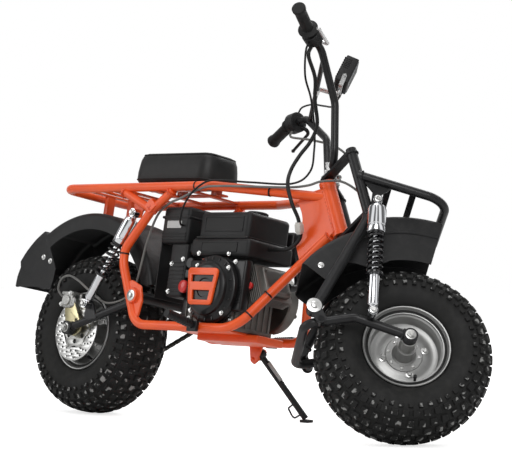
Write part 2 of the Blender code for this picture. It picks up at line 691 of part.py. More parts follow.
recoil_profile = [(0, RECOIL_FACE_Y), (0.066, RECOIL_FACE_Y), (0.078, RECOIL_FACE_Y + 0.008),
                  (0.082, RECOIL_FACE_Y + 0.022), (RECOIL_R, RECOIL_FACE_Y + 0.026),
                  (RECOIL_R, -0.1035 - GAP), (0, -0.1035 - GAP)]
node("recoil_housing", turned(recoil_profile, (CRANK[0], 0, CRANK[1]), LEFT, 32), PLASTIC, CHASSIS)

BADGE_T = 0.007
badge_outline = bent([(CRANK[0] - 0.066, 0, CRANK[1] + 0.056), (CRANK[0] + 0.060, 0, CRANK[1] + 0.056),
                      (CRANK[0] + 0.044, 0, CRANK[1] - 0.050), (CRANK[0] - 0.048, 0, CRANK[1] - 0.050)],
                     0.012, 3, closed=True)
badge_windows = [[(CRANK[0] + x, CRANK[1] + z) for x, z in window] for window in (
    [(-0.048, 0.036), (0.044, 0.036), (0.041, 0.016), (-0.046, 0.016)],
    [(-0.038, -0.008), (0.034, -0.008), (0.030, -0.036), (-0.034, -0.036)])]
badge = plate([(p.x, p.z) for p in badge_outline], RECOIL_FACE_Y - BADGE_T - GAP,
              RECOIL_FACE_Y - GAP, badge_windows)
node("recoil_badge", badge, ORANGE, CHASSIS)

cover = join(block((0.205, 0.170, 0.085), (0.600, -0.025, 0.5605), edge=0.010, segments=2),
             block((0.240, 0.185, 0.054), (0.600, -0.025, 0.4975), edge=0.010, segments=2),
             rod((0.655, -0.035, 0.59), (0.655, -0.035, 0.613), 0.030, 24))
node("top_cover", cover, PLASTIC, CHASSIS)

air_box = join(block((0.115, 0.100, 0.110), (0.405, -0.070, 0.562), edge=0.010, segments=2),
               block((0.070, 0.070, 0.160), (0.425, -0.075, 0.430), edge=0.006, segments=1),
               block((0.030, 0.050, 0.028), (0.480 - GAP - 0.015, -0.075, 0.4975)))
node("air_box", air_box, PLASTIC, CHASSIS)

exhaust = bent([(0.726, 0.057 + GAP, 0.412), (0.726, 0.100, 0.412), (0.690, 0.108, 0.510)], 0.030, 3)
muffler = join(block((0.170, 0.055, 0.100), (0.610, 0.1105, 0.530), edge=0.014, segments=2),
               tube(exhaust, 0.011))
node("muffler", muffler, BLACK, CHASSIS)

cover_outline = (arc(CRANK, 0.088, -100, 75, 12) + arc(OUTPUT, 0.062, 80, 255, 8))
drive_case = plate(cover_outline, CHAIN_Y + CHAIN_HALF_W + 0.003, CHAIN_Y + 0.0575)
node("drive_cover", join(drive_case,
                         rod((OUTPUT[0], 0.068, OUTPUT[1]),
                             (OUTPUT[0], CHAIN_Y + 0.011, OUTPUT[1]), 0.012, 16),
                         turned([(0, CHAIN_Y - 0.002), (OUTPUT_R - ROLLER_R - 0.001, CHAIN_Y - 0.002),
                                 (OUTPUT_R - ROLLER_R - 0.001, CHAIN_Y + 0.002), (0, CHAIN_Y + 0.002)],
                                (OUTPUT[0], 0, OUTPUT[1]), LEFT, 24)), CAST, CHASSIS)

# Rear brake caliper, straddling the disc on the arm's end
caliper = join(block((0.060, 0.046, 0.055), (-0.038, DISC_Y - 0.002, AXLE_Z + 0.088), edge=0.006,
                     segments=1),
               plate([(-0.050, 0.310), (-0.030, 0.235), (0.012, 0.222), (0.040, 0.250), (-0.010, 0.320)],
                     DISC_Y - 0.0165, DISC_Y - 0.0125))
caliper = cut(caliper, turned([(0.0, DISC_Y - 0.005), (DISC_R + 0.005, DISC_Y - 0.005),
                               (DISC_R + 0.005, DISC_Y + 0.005), (0.0, DISC_Y + 0.005)],
                              REAR_AXLE, LEFT, 48),
              rod((0, -0.2, AXLE_Z), (0, 0.2, AXLE_Z), room(AXLE_R)))
node("brake_caliper", caliper, STEEL, CHASSIS)

# Footpegs on the lower rails
for side, label in ((-1, "right"), (1, "left")):
    peg = join(tube([(0.585, side * (SIDE_Y + 0.008), 0.262), (0.577, side * 0.262, 0.282)], 0.0125),
               block((0.040, 0.012, 0.030), (0.585, side * (SIDE_Y + TUBE_R + 0.0065), 0.260)))
    peg = cut(peg, tube([(0.40, side * SIDE_Y, LOW_RAIL_Z), (0.68, side * SIDE_Y, LOW_RAIL_Z)],
                        room(TUBE_R, 10)))
    node("footpeg_" + label, peg, BLACK, CHASSIS)


# Steering assembly, modelled straight ahead
def on_axis(up, fore, y=0.0):
    """A point up the steering axis, ahead of it and to the left."""
    point = STEER_FOOT + STEER_UP * up + STEER_FORE * fore
    return Vector((point.x, y, point.z))


POST_FORE = 0.056
legs = []
fork_parts = [rod(on_axis(HEAD_LOW - 0.010, 0), on_axis(HEAD_HIGH + 0.011, 0), STEM_R, 20)]
for side in (-1, 1):
    y = side * FORK_Y
    leg = bent([on_axis(HEAD_HIGH + 0.021, POST_FORE, y), on_axis(0.330, POST_FORE, y),
                Vector((LINK_PIVOT[0] + 0.004, y, LINK_PIVOT[1] + 0.012))], 0.07, 5)
    legs.append(leg)
    fork_parts.append(tube(leg, FORK_R))
    fork_parts.append(rod((LINK_PIVOT[0], y - side * 0.014, LINK_PIVOT[1]),
                          (LINK_PIVOT[0], y + side * 0.018, LINK_PIVOT[1]), 0.018, 14))
CROWN_T = 0.010
CROWN_BAR_R = 0.017
RAKED = Matrix.Rotation(-RAKE, 4, "Y")
for side in (-1, 1):
    rims = (arc((0, 0), 0.020, 0, 324, 9)
            + arc((POST_FORE, side * FORK_Y), CROWN_BAR_R, 0, 324, 9))
    bar_plan = [rims[index] for index in geometry.convex_hull_2d(rims)]
    for up in (HEAD_LOW - 0.005 - CROWN_T / 2, HEAD_HIGH + 0.006 + CROWN_T / 2):
        flat = Matrix.Translation(on_axis(up, 0)) @ RAKED @ Matrix.Rotation(-math.pi / 2, 4, "X")
        fork_parts.append(plate(bar_plan, -CROWN_T / 2, CROWN_T / 2, turn=flat))
fork = join(*fork_parts)
fork = cut(fork, rod((LINK_PIVOT[0], -0.2, LINK_PIVOT[1]), (LINK_PIVOT[0], 0.2, LINK_PIVOT[1]),
                     room(PIN_R)))
node("fork", fork, BLACK, STEERING)

# Leading link: one tube round behind the tyre, hung from the fork's pivots by two lugs
LINK_BACK_X, LINK_LOW_Z = WHEELBASE - TYRE_R - 0.0355, 0.190
link_path = [(WHEELBASE, LINK_Y, AXLE_Z), (WHEELBASE - 0.155, LINK_Y, 0.250),
             (LINK_BACK_X, LINK_Y, LINK_LOW_Z)]
link_path += [(x, -y, z) for x, y, z in reversed(link_path)]
link_parts = [tube(bent(link_path, 0.030, 4), LINK_R, around=2)]
LUG_IN = FORK_Y + 0.018 + GAP
for side in (-1, 1):
    y = side * LINK_Y
    link_parts.append(rod((WHEELBASE, y - BOSS_HALF, AXLE_Z), (WHEELBASE, y + BOSS_HALF, AXLE_Z),
                          0.020, 14))
    lug_y = side * (LUG_IN + 0.003)
    link_parts.append(plate([(LINK_PIVOT[0] - 0.014, LINK_PIVOT[1] + 0.014),
                             (LINK_PIVOT[0] + 0.016, LINK_PIVOT[1] + 0.014),
                             (LINK_BACK_X + 0.060, LINK_LOW_Z + 0.022),
                             (LINK_BACK_X + 0.010, LINK_LOW_Z)],
                            lug_y - 0.003, lug_y + 0.003))
    link_parts.append(rod((LINK_BACK_X + 0.038, y, LINK_LOW_Z + 0.014),
                          (LINK_BACK_X + 0.038, lug_y + side * 0.003, LINK_LOW_Z + 0.014), 0.010, 10))
    link_parts.append(rod((SHOCK_FOOT[0], y, SHOCK_FOOT[1]),
                          (SHOCK_FOOT[0], side * (SHOCK_Y - 0.012 - GAP), SHOCK_FOOT[1]), 0.009, 12))
    link_parts.append(rod((SHOCK_FOOT[0], y, SHOCK_FOOT[1] - 0.018),
                          (SHOCK_FOOT[0], y, SHOCK_FOOT[1] + 0.010), 0.010, 12))
    link_parts.append(rod((LINK_PIVOT[0], side * (FORK_Y - 0.012), LINK_PIVOT[1]),
                          (LINK_PIVOT[0], side * (LUG_IN + 0.012), LINK_PIVOT[1]), PIN_R, 14))
    link_parts.append(rod((LINK_PIVOT[0], side * (LUG_IN + 0.005), LINK_PIVOT[1]),
                          (LINK_PIVOT[0], side * (LUG_IN + 0.010), LINK_PIVOT[1]), 0.0165, 16))
link = join(*link_parts)
link = cut(link, rod((WHEELBASE, -0.2, AXLE_Z), (WHEELBASE, 0.2, AXLE_Z), room(AXLE_R)))
node("leading_link", link, BLACK, STEERING)
node("front_axle", pin(FRONT_AXLE, LINK_Y + BOSS_HALF + GAP, AXLE_R, 0.0125, 0.008,
                       (0.0215, HUB_HALF + SPACER_GAP, LINK_Y - BOSS_HALF - GAP)),
     STEEL, STEERING)
for side, label in ((-1, "right"), (1, "left")):
    y = side * SHOCK_Y
    node("front_shock_" + label, shock((SHOCK_TOP[0], y, SHOCK_TOP[1]),
                                       (SHOCK_FOOT[0], y, SHOCK_FOOT[1]),
                                       0.0255, 0.0220, 0.0145, 0.30), CHROME, STEERING)

# Front rack: a flat hoop on the fork posts with two bars across
FRONT_RACK_Z = 0.663
FRONT_RACK_Y = FORK_Y + 0.015
RACK_NOSE_X = WHEELBASE + 0.001
rack_start = on_axis(0.462, POST_FORE).x
hoop = [(rack_start, FRONT_RACK_Y - 0.004, FRONT_RACK_Z + 0.006),
        (RACK_NOSE_X, FRONT_RACK_Y, FRONT_RACK_Z), (RACK_NOSE_X, -FRONT_RACK_Y, FRONT_RACK_Z),
        (rack_start, -FRONT_RACK_Y + 0.004, FRONT_RACK_Z + 0.006)]
rack_parts = [tube(bent(hoop, 0.055, 5), LINK_R)]
for x in (RACK_NOSE_X - 0.166, RACK_NOSE_X - 0.096):
    rack_parts.append(block((0.018, 2 * FRONT_RACK_Y, 0.008), (x, 0, FRONT_RACK_Z)))
for side in (-1, 1):
    ear_y = side * (FORK_Y + 0.007)
    eye_x, eye_z = SHOCK_TOP
    rack_parts.append(plate([(rack_start + 0.010, FRONT_RACK_Z), (eye_x + 0.026, FRONT_RACK_Z),
                             (eye_x + 0.020, eye_z + 0.056), (eye_x + 0.006, eye_z + 0.040),
                             (eye_x + 0.014, eye_z + 0.006), (eye_x + 0.008, eye_z - 0.010),
                             (eye_x - 0.014, eye_z - 0.009), (eye_x - 0.020, eye_z + 0.040)],
                            ear_y - 0.003, ear_y + 0.003))
    rack_parts.append(rod((eye_x, ear_y, eye_z), (eye_x, side * (SHOCK_Y - EYE_HALF - GAP), eye_z),
                          0.009))
front_rack = join(*rack_parts)
front_rack = cut(front_rack, *[tube(leg, room(FORK_R, 10)) for leg in legs])
node("front_rack", front_rack, BLACK, STEERING)

# It steps down where it passes under the lower crown
front_guard = (stretch(89, 116, 5, FRONT_FENDER_R + 0.024, 0.140)
               + stretch(118.5, 131, 2, FRONT_FENDER_R, 0.120)
               + stretch(140, 157, 2, FRONT_FENDER_R, 0.080))
mudguard = fender((WHEELBASE, AXLE_Z), front_guard)
FENDER_UP = (-STEER_OFFSET * math.sin(RAKE) + math.sqrt(
    (FRONT_FENDER_R - FENDER_WALL / 2) ** 2 - (STEER_OFFSET * math.cos(RAKE)) ** 2))
node("front_fender", join(mudguard, rod(on_axis(FENDER_UP, 0), on_axis(HEAD_LOW - 0.005 - CROWN_T - GAP, 0),
                                        0.012, 12)), PLASTIC, STEERING)

# Handlebar, grips and controls
CROWN_TOP = HEAD_HIGH + 0.006 + CROWN_T
BAR_CLAMP = on_axis(CROWN_TOP + BAR_R + 0.006, 0.020)
bar_half = [(BAR_CLAMP.x, 0.0, BAR_CLAMP.z), (BAR_CLAMP.x, 0.072, BAR_CLAMP.z),
            (0.838, 0.098, 0.905), (0.760, 0.185, 1.008), (0.715, 0.250, 1.012),
            (0.675, GRIP_END_Y - 0.004, 1.004)]
bar_path = [(x, -y, z) for x, y, z in reversed(bar_half[1:])] + bar_half[1:]
brace = tube([(0.772, -0.165, 0.991), (0.772, 0.165, 0.991)], 0.007)
handlebar = join(tube(bent(bar_path, 0.045, 3), BAR_R, around=2), brace)
node("handlebar", handlebar, BLACK, STEERING)
CLAMP_H = 2 * BAR_R + 0.012
clamp = join(block((0.034, 0.070, 0.004), on_axis(CROWN_TOP + GAP + 0.002, 0.020), RAKED),
             *[block((0.032, 0.020, CLAMP_H), on_axis(CROWN_TOP + GAP + CLAMP_H / 2, 0.020, y),
                     RAKED, edge=0.003, segments=1) for y in (-0.021, 0.021)])
clamp = cut(clamp, rod((BAR_CLAMP.x, -0.1, BAR_CLAMP.z), (BAR_CLAMP.x, 0.1, BAR_CLAMP.z),
                       room(BAR_R, 20), 20))
node("bar_clamp", clamp, CHROME, STEERING)
for side, label in ((-1, "right"), (1, "left")):
    inner = Vector((0.715, side * 0.250, 1.012))
    outer = Vector((0.675, side * (GRIP_END_Y - 0.004), 1.004))
    along = (outer - inner).normalized()
    length = (outer - inner).length
    grip = turned([(0.0, length + GAP), (room(BAR_R), length + GAP), (room(BAR_R), 0.008),
                   (0.021, 0.008), (0.021, 0.014), (0.0165, 0.018),
                   (0.0165, length - 0.010), (0.0185, length - 0.004), (0.0185, length + 0.004),
                   (0.0, length + 0.004)], inner, along, 16)
    node("grip_" + label, grip, RUBBER, STEERING)
    up_bar = Vector((0.760, side * 0.185, 1.008))
    back = (up_bar - inner).normalized()
    housing = turned([(room(BAR_R), 0.004), (0.026, 0.004), (0.026, 0.036), (room(BAR_R), 0.036)],
                     inner + back * 0.044, -back, 16, ring=True)
    mount = inner + back * 0.020 + Vector((0.030, 0, -0.004))
    tip = inner + along * 0.085 + Vector((0.058, 0, -0.030))
    lever = tube(bent([mount - Vector((0.008, 0, 0)), mount + Vector((0.022, 0, -0.010)), tip],
                      0.012, 3), 0.0055)
    node("control_" + label, join(housing, lever), PLASTIC, STEERING)

LAMP_TILT = math.radians(8)
lamp_turn = Matrix.Rotation(LAMP_TILT, 4, "Y")
lamp = join(block((0.044, 0.066, 0.092), (0.840, 0, 1.074), lamp_turn, edge=0.005, segments=1),
            block((0.080, 0.020, 0.008), (0.799, 0, 1.0005)),
            block((0.008, 0.020, 0.040), (0.835, 0, 1.0185)))
lamp = cut(lamp, rod((0.772, -0.1, 0.991), (0.772, 0.1, 0.991), room(0.007), 16))
node("headlight", lamp, PLASTIC, STEERING)

# Cables, each whole along its route with the steering at its stop
HOSE_R, CABLE_R, LOOM_R, LEAD_R = 0.0035, 0.0030, 0.0055, 0.0028
CABLE_STEP = 0.029
HOUSING_UNDER_Z = 0.9840


def locked(x, y, z):
    """Where a point of the straight-ahead steering lies on the machine at rest."""
    turn = Matrix.Rotation(STEER_LOCK, 3, STEER_UP)
    return STEER_FOOT + turn @ (Vector((x, y, z)) - STEER_FOOT)


def cable(name, route, radius, parent):
    node(name, tube(smooth(route, CABLE_STEP), radius, around=1), RUBBER, parent)


cable("brake_hose", [
    (-0.068 - GAP, -0.104, 0.342), (-0.082, -0.105, 0.342), (-0.096, -0.113, 0.362),
    (-0.080, -0.120, 0.392), (-0.045, -0.121, 0.404), (0.000, -0.119, 0.390),
    (0.050, -0.114, 0.362), (0.130, -0.114, 0.326), (0.200, -0.116, 0.331),
    (0.250, -0.118, 0.356), (0.270, -0.118, 0.400), (0.290, -0.119, 0.510),
    (0.322, -0.121, 0.590), (0.385, -0.138, 0.622), (0.455, -0.161, 0.632),
    (0.548, -0.164, 0.661), (0.600, -0.153, 0.668),
    (0.690, -0.115, 0.673), (0.800, -0.070, 0.678), (0.860, -0.054, 0.686),
    (0.905, -0.048, 0.698), (0.955, -0.020, 0.702), (0.992, 0.012, 0.680),
    (0.985, 0.050, 0.662), (0.950, 0.078, 0.680), (0.918, 0.090, 0.735),
    (0.870, 0.100, 0.790), (0.780, 0.118, 0.838), (0.660, 0.138, 0.866),
    locked(0.7287, 0.2303, 0.960), locked(0.7287, 0.2303, HOUSING_UNDER_Z)], HOSE_R, CHASSIS)
cable("throttle_cable", [
    (0.440, -0.120 - GAP, 0.560), (0.440, -0.130, 0.560), (0.450, -0.145, 0.573),
    (0.475, -0.162, 0.608), (0.515, -0.1725, 0.647), (0.560, -0.168, 0.677),
    (0.600, -0.152, 0.685), (0.690, -0.110, 0.686), (0.800, -0.056, 0.692),
    (0.822, -0.015, 0.735), (0.812, 0.000, 0.800), (0.812, -0.010, 0.860),
    (0.832, -0.060, 0.935), (0.855, -0.118, 0.985), locked(0.7230, -0.2385, 0.950),
    locked(0.7230, -0.2385, HOUSING_UNDER_Z)], CABLE_R, CHASSIS)
cable("wiring_loom", [
    (0.720 + GAP, -0.034, 0.505), (0.745, -0.034, 0.505), (0.800, -0.036, 0.508),
    (0.842, -0.040, 0.540), (0.846, -0.060, 0.586), (0.835, -0.083, 0.628),
    (0.811, -0.086, 0.683), (0.792, -0.062, 0.730), (0.798, -0.040, 0.778),
    (0.816, -0.024, 0.820), (0.834, -0.024, 0.869), (0.850, -0.062, 0.930),
    (0.876, -0.100, 0.985), locked(0.7327, -0.2246, 0.950),
    locked(0.7327, -0.2246, HOUSING_UNDER_Z)], LOOM_R, CHASSIS)
cable("lamp_lead", [
    (0.8416, 0.017, 1.0269), (0.8397, 0.019, 1.0133), (0.830, 0.050, 0.990),
    (0.800, 0.110, 1.020), (0.765, 0.165, 1.050), (0.735, 0.215, 1.062),
    (0.7287, 0.2303, 1.050), (0.7287, 0.2303, 1.0375)], LEAD_R, STEERING)


def lowest(obj):
    """Height of the object's lowest corner in the world."""
    bpy.context.view_layer.update()
    return min((obj.matrix_world @ vertex.co).z for vertex in obj.data.vertices)


def pose(pitch, height):
    CHASSIS.matrix_basis = (Matrix.Translation((0, 0, height)) @ Matrix.Rotation(-LEAN, 4, "X")
                            @ Matrix.Rotation(pitch, 4, "Y"))


rear_tyre, front_tyre = bpy.data.objects["rear_tyre"], bpy.data.objects["front_tyre"]
low_pitch, high_pitch = -0.1, 0.1
for halving in range(24):
    pitch = (low_pitch + high_pitch) / 2
    pose(pitch, 0.0)
    if lowest(front_tyre) > lowest(rear_tyre):
        low_pitch = pitch
    else:
        high_pitch = pitch
pose(pitch, 0.0)
pose(pitch, -lowest(rear_tyre))
bpy.context.view_layer.update()

FOOT_X, FOOT_Y = 0.632, 0.300
LEG_R = 0.0092
to_machine = CHASSIS.matrix_world.inverted()
foot_world = CHASSIS.matrix_world @ Vector((FOOT_X, FOOT_Y, 0.060))
foot_world.z = 0.004
foot = to_machine @ foot_world
sole = block((0.032, 0.026, 0.008), foot, to_machine.to_3x3().to_4x4(), edge=0.001, segments=1)
ankle = to_machine @ (foot_world + Vector((0, 0, 0.004)))
stand = join(tube([STAND_PIVOT, ankle + (STAND_PIVOT - ankle).normalized() * 0.004], LEG_R), sole,
             rod(on_stand(-STAND_BOSS_HALF), on_stand(STAND_BOSS_HALF), STAND_BOSS_R, 20))
stand = cut(stand, rod(on_stand(-0.03), on_stand(0.03), room(STAND_PIN_R) + 0.0002))
node("side_stand", stand, BLACK, SIDE_STAND)

# The origin goes to the middle of the floor under the whole machine
bpy.context.view_layer.update()
corners = np.array([obj.matrix_world @ vertex.co for obj in PARTS.objects if obj.type == "MESH"
                    for vertex in obj.data.vertices])
middle = (corners.min(axis=0) + corners.max(axis=0)) / 2
CHASSIS.matrix_basis = Matrix.Translation((-middle[0], -middle[1], 0)) @ CHASSIS.matrix_basis
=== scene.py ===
"""The looks of a small fat-tyred motorcycle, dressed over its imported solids.

Every shape is worked out in the upright machine's own metres: X forward, Y left, Z up, with the
origin on the floor under the rear axle. `machine` leans a shape onto the side stand with the
frame, and `steered` also turns it with the fork.
"""
import json
import math

import bmesh
import bpy
import numpy as np
from mathutils import Matrix, Vector


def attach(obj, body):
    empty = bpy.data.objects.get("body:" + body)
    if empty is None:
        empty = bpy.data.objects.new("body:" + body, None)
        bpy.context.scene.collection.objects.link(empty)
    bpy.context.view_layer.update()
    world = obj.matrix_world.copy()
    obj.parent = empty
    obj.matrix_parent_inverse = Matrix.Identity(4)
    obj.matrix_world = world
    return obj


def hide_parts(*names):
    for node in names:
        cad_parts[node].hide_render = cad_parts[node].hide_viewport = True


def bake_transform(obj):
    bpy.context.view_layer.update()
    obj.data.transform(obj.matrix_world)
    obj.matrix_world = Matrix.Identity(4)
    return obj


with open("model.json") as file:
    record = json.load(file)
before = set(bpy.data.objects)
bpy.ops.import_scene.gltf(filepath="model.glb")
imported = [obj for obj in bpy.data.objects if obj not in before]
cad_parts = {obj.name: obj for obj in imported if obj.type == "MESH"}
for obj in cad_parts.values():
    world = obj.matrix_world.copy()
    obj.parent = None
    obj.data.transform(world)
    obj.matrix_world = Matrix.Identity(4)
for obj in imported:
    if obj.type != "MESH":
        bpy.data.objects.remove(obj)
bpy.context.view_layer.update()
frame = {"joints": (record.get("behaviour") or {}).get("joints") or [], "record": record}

# The studio: a white sweep with large soft lamps, and the camera low at the front right,
# rolled a little, as the photograph was taken. The machine's own axes come from its joints:
# the rear axle gives its left, the seat's mount its up.
joints = {joint["name"]: joint for joint in frame["joints"]}
mounts = {mount["name"]: mount for mount in frame["record"]["mounts"]}
AXLE_Z = 0.2415
LEFT_SIDE = np.array(joints["rear_wheel_spin"]["axis"], float)
UPWARD = np.array(mounts["seat_top"]["axis"], float)
AXES = np.column_stack((np.cross(LEFT_SIDE, UPWARD), LEFT_SIDE, UPWARD))
HOME = np.array(joints["rear_wheel_spin"]["pos_m"], float) - AXES @ (0.0, 0.0, AXLE_Z)
STEER_FOOT = AXES.T @ (np.array(joints["steering"]["pos_m"], float) - HOME)
STEER_UP = AXES.T @ np.array(joints["steering"]["axis"], float)
STEER_LOCK = -math.radians(joints["steering"]["range_deg"][0]) / 2
FORK_TURN = np.array(Matrix.Rotation(STEER_LOCK, 3, Vector(STEER_UP)))


def machine(points):
    """The row frame's places of points given in the upright machine's metres."""
    return HOME + np.asarray(points, float) @ AXES.T


def locked(points):
    """Where points of the straight-ahead steering lie on the machine, at its left stop."""
    return STEER_FOOT + (np.asarray(points, float) - STEER_FOOT) @ FORK_TURN.T


def steered(points):
    """The row frame's places of points given on the straight-ahead steering."""
    return machine(locked(points))


CAMERA_PLACE = (4.9524, -4.2183, -0.2511)
CAMERA_AZIMUTH, CAMERA_CLIMB, CAMERA_ROLL = (math.radians(angle) for angle in (45.78, 7.86, 7.75))
LENS_MM, SENSOR_MM = 147.9, 36.0
onward = np.array((-math.sin(CAMERA_AZIMUTH) * math.cos(CAMERA_CLIMB),
                   math.cos(CAMERA_AZIMUTH) * math.cos(CAMERA_CLIMB), math.sin(CAMERA_CLIMB)))
level = np.cross(onward, (0, 0, 1)) / math.cos(CAMERA_CLIMB)
over = np.cross(level, onward)
across = level * math.cos(CAMERA_ROLL) + over * math.sin(CAMERA_ROLL)
upright = over * math.cos(CAMERA_ROLL) - level * math.sin(CAMERA_ROLL)
view = bpy.data.cameras.new("photograph")
view.lens, view.sensor_width = LENS_MM, SENSOR_MM
camera = bpy.data.objects.new("photograph", view)
pose = Matrix(np.column_stack((AXES @ across, AXES @ upright, AXES @ -onward)).tolist()).to_4x4()
camera.matrix_world = Matrix.Translation(machine(CAMERA_PLACE)) @ pose
bpy.context.scene.collection.objects.link(camera)
bpy.context.scene.camera = camera


def add(tree, kind, inputs=None, **settings):
    """A shader node with its settings, and each input set to a value or to another's output."""
    made = tree.nodes.new("ShaderNode" + kind)
    for key, value in settings.items():
        setattr(made, key, value)
    for key, value in (inputs or {}).items():
        if isinstance(value, bpy.types.NodeSocket):
            tree.links.new(value, made.inputs[key])
        else:
            made.inputs[key].default_value = value
    return made


FLOOR_HALF = 9.0
FLOOR_COLOUR = (0.90, 0.90, 0.895)
floor_mesh = bpy.data.meshes.new("studio_floor")
floor_mesh.from_pydata([(x, y, -0.0005) for x, y in ((-FLOOR_HALF, -FLOOR_HALF), (FLOOR_HALF, -FLOOR_HALF),
                                                 (FLOOR_HALF, FLOOR_HALF), (-FLOOR_HALF, FLOOR_HALF))],
                       [], [(0, 1, 2, 3)])
floor_paint = bpy.data.materials.new("studio_floor")
floor_paint.use_nodes = True
floor_shader = floor_paint.node_tree.nodes["Principled BSDF"]
floor_shader.inputs["Base Color"].default_value = (*FLOOR_COLOUR, 1.0)
floor_shader.inputs["Roughness"].default_value = 0.6
floor_shader.inputs["Emission Color"].default_value = (1.0, 1.0, 1.0, 1.0)
floor_seen = add(floor_paint.node_tree, "LightPath").outputs["Is Camera Ray"]
lifted = add(floor_paint.node_tree, "MapRange", {"Value": floor_seen, "To Min": 0.0, "To Max": 0.70})
floor_paint.node_tree.links.new(lifted.outputs[0], floor_shader.inputs["Emission Strength"])
floor_mesh.materials.append(floor_paint)
floor = bpy.data.objects.new("studio_floor", floor_mesh)
bpy.context.scene.collection.objects.link(floor)

world = bpy.data.worlds.new("studio")
world.use_nodes = True
backdrop = world.node_tree.nodes["Background"]
backdrop.inputs["Color"].default_value = (1.0, 1.0, 1.0, 1.0)
# Bright gloss sees a studio of tall pale panels with dark gaps: a sine of the compass angle.
rays = add(world.node_tree, "LightPath").outputs
toward = add(world.node_tree, "SeparateXYZ", {0: add(world.node_tree, "TexCoord").outputs["Generated"]})
compass = add(world.node_tree, "Math", {0: toward.outputs[1], 1: toward.outputs[0]}, operation="ARCTAN2")
turns = add(world.node_tree, "Math", {0: compass.outputs[0], 1: 5.0}, operation="MULTIPLY")
wave = add(world.node_tree, "Math", {0: turns.outputs[0]}, operation="SINE")
panels = add(world.node_tree, "MapRange", {"Value": wave.outputs[0], "From Min": -0.5, "From Max": 0.4,
                                           "To Min": 0.16, "To Max": 1.05})
softly = add(world.node_tree, "MapRange", {"Value": rays["Is Glossy Ray"], "To Min": 0.36,
                                           "To Max": panels.outputs[0]})
glow = add(world.node_tree, "MapRange", {"Value": rays["Is Camera Ray"], "To Min": softly.outputs[0],
                                         "To Max": 1.0})
world.node_tree.links.new(glow.outputs[0], backdrop.inputs["Strength"])
bpy.context.scene.world = world
bpy.context.scene.view_settings.view_transform = "Standard"
for label, place, size, power in (("key", (3.4, -3.2, 3.6), 2.6, 112), ("fill", (-3.0, -3.6, 2.2), 2.4, 40),
                                  ("rim", (-0.6, 3.6, 3.2), 2.4, 70), ("top", (0.0, 0.0, 4.2), 2.2, 42)):
    lamp_data = bpy.data.lights.new("lamp_" + label, "AREA")
    lamp_data.size, lamp_data.energy = size, power
    lamp = bpy.data.objects.new("lamp_" + label, lamp_data)
    lamp.location = place
    lamp.rotation_euler = (Vector((0, 0, 0.5)) - Vector(place)).to_track_quat("-Z", "Y").to_euler()
    bpy.context.scene.collection.objects.link(lamp)

# The tube frame: two side loops of bent round steel tube, top rails with a luggage rack of flat
# slats, a gusseted neck and an engine bed, all welded, and sprayed with gloss orange-red paint.
DUST_COLOUR = (0.21, 0.20, 0.185, 1.0)


def detail_group():
    """What every finish shares, from noise on the piece's own coordinates: Tone, a slow wander
    from 0 to 1; Dust, a mask that is strongest on faces that look up; Normal, a fine grain."""
    group = bpy.data.node_groups.new("surface_detail", "ShaderNodeTree")
    for label in ("Grain", "Depth", "Dust"):
        group.interface.new_socket(label, in_out="INPUT", socket_type="NodeSocketFloat")
    for label, kind in (("Tone", "Float"), ("Dust", "Float"), ("Normal", "Vector")):
        group.interface.new_socket(label, in_out="OUTPUT", socket_type="NodeSocket" + kind)
    given, put = group.nodes.new("NodeGroupInput"), group.nodes.new("NodeGroupOutput")
    place = add(group, "TexCoord").outputs["Object"]
    slow = add(group, "TexNoise", {"Vector": place, "Scale": 11.0, "Detail": 5.0})
    tone = add(group, "MapRange", {"Value": slow.outputs[0], "From Min": 0.32, "From Max": 0.68})
    grain = add(group, "TexNoise", {"Vector": place, "Scale": given.outputs["Grain"], "Detail": 2.0})
    bump = add(group, "Bump", {"Strength": given.outputs["Depth"], "Distance": 0.0006,
                               "Height": grain.outputs[0]})
    facing = add(group, "SeparateXYZ", {0: add(group, "NewGeometry").outputs["Normal"]})
    lying = add(group, "MapRange", {"Value": facing.outputs[2], "From Min": -0.2, "From Max": 1.0})
    patch = add(group, "TexNoise", {"Vector": place, "Scale": 48.0, "Detail": 6.0})
    patchy = add(group, "MapRange", {"Value": patch.outputs[0], "From Min": 0.42, "From Max": 0.70})
    drift = add(group, "Math", {0: lying.outputs[0], 1: patchy.outputs[0]}, operation="MULTIPLY")
    dust = add(group, "Math", {0: drift.outputs[0], 1: given.outputs["Dust"]}, operation="MULTIPLY")
    for label, socket in (("Tone", tone.outputs[0]), ("Dust", dust.outputs[0]),
                          ("Normal", bump.outputs[0])):
        group.links.new(socket, put.inputs[label])
    return group


DETAIL = detail_group()


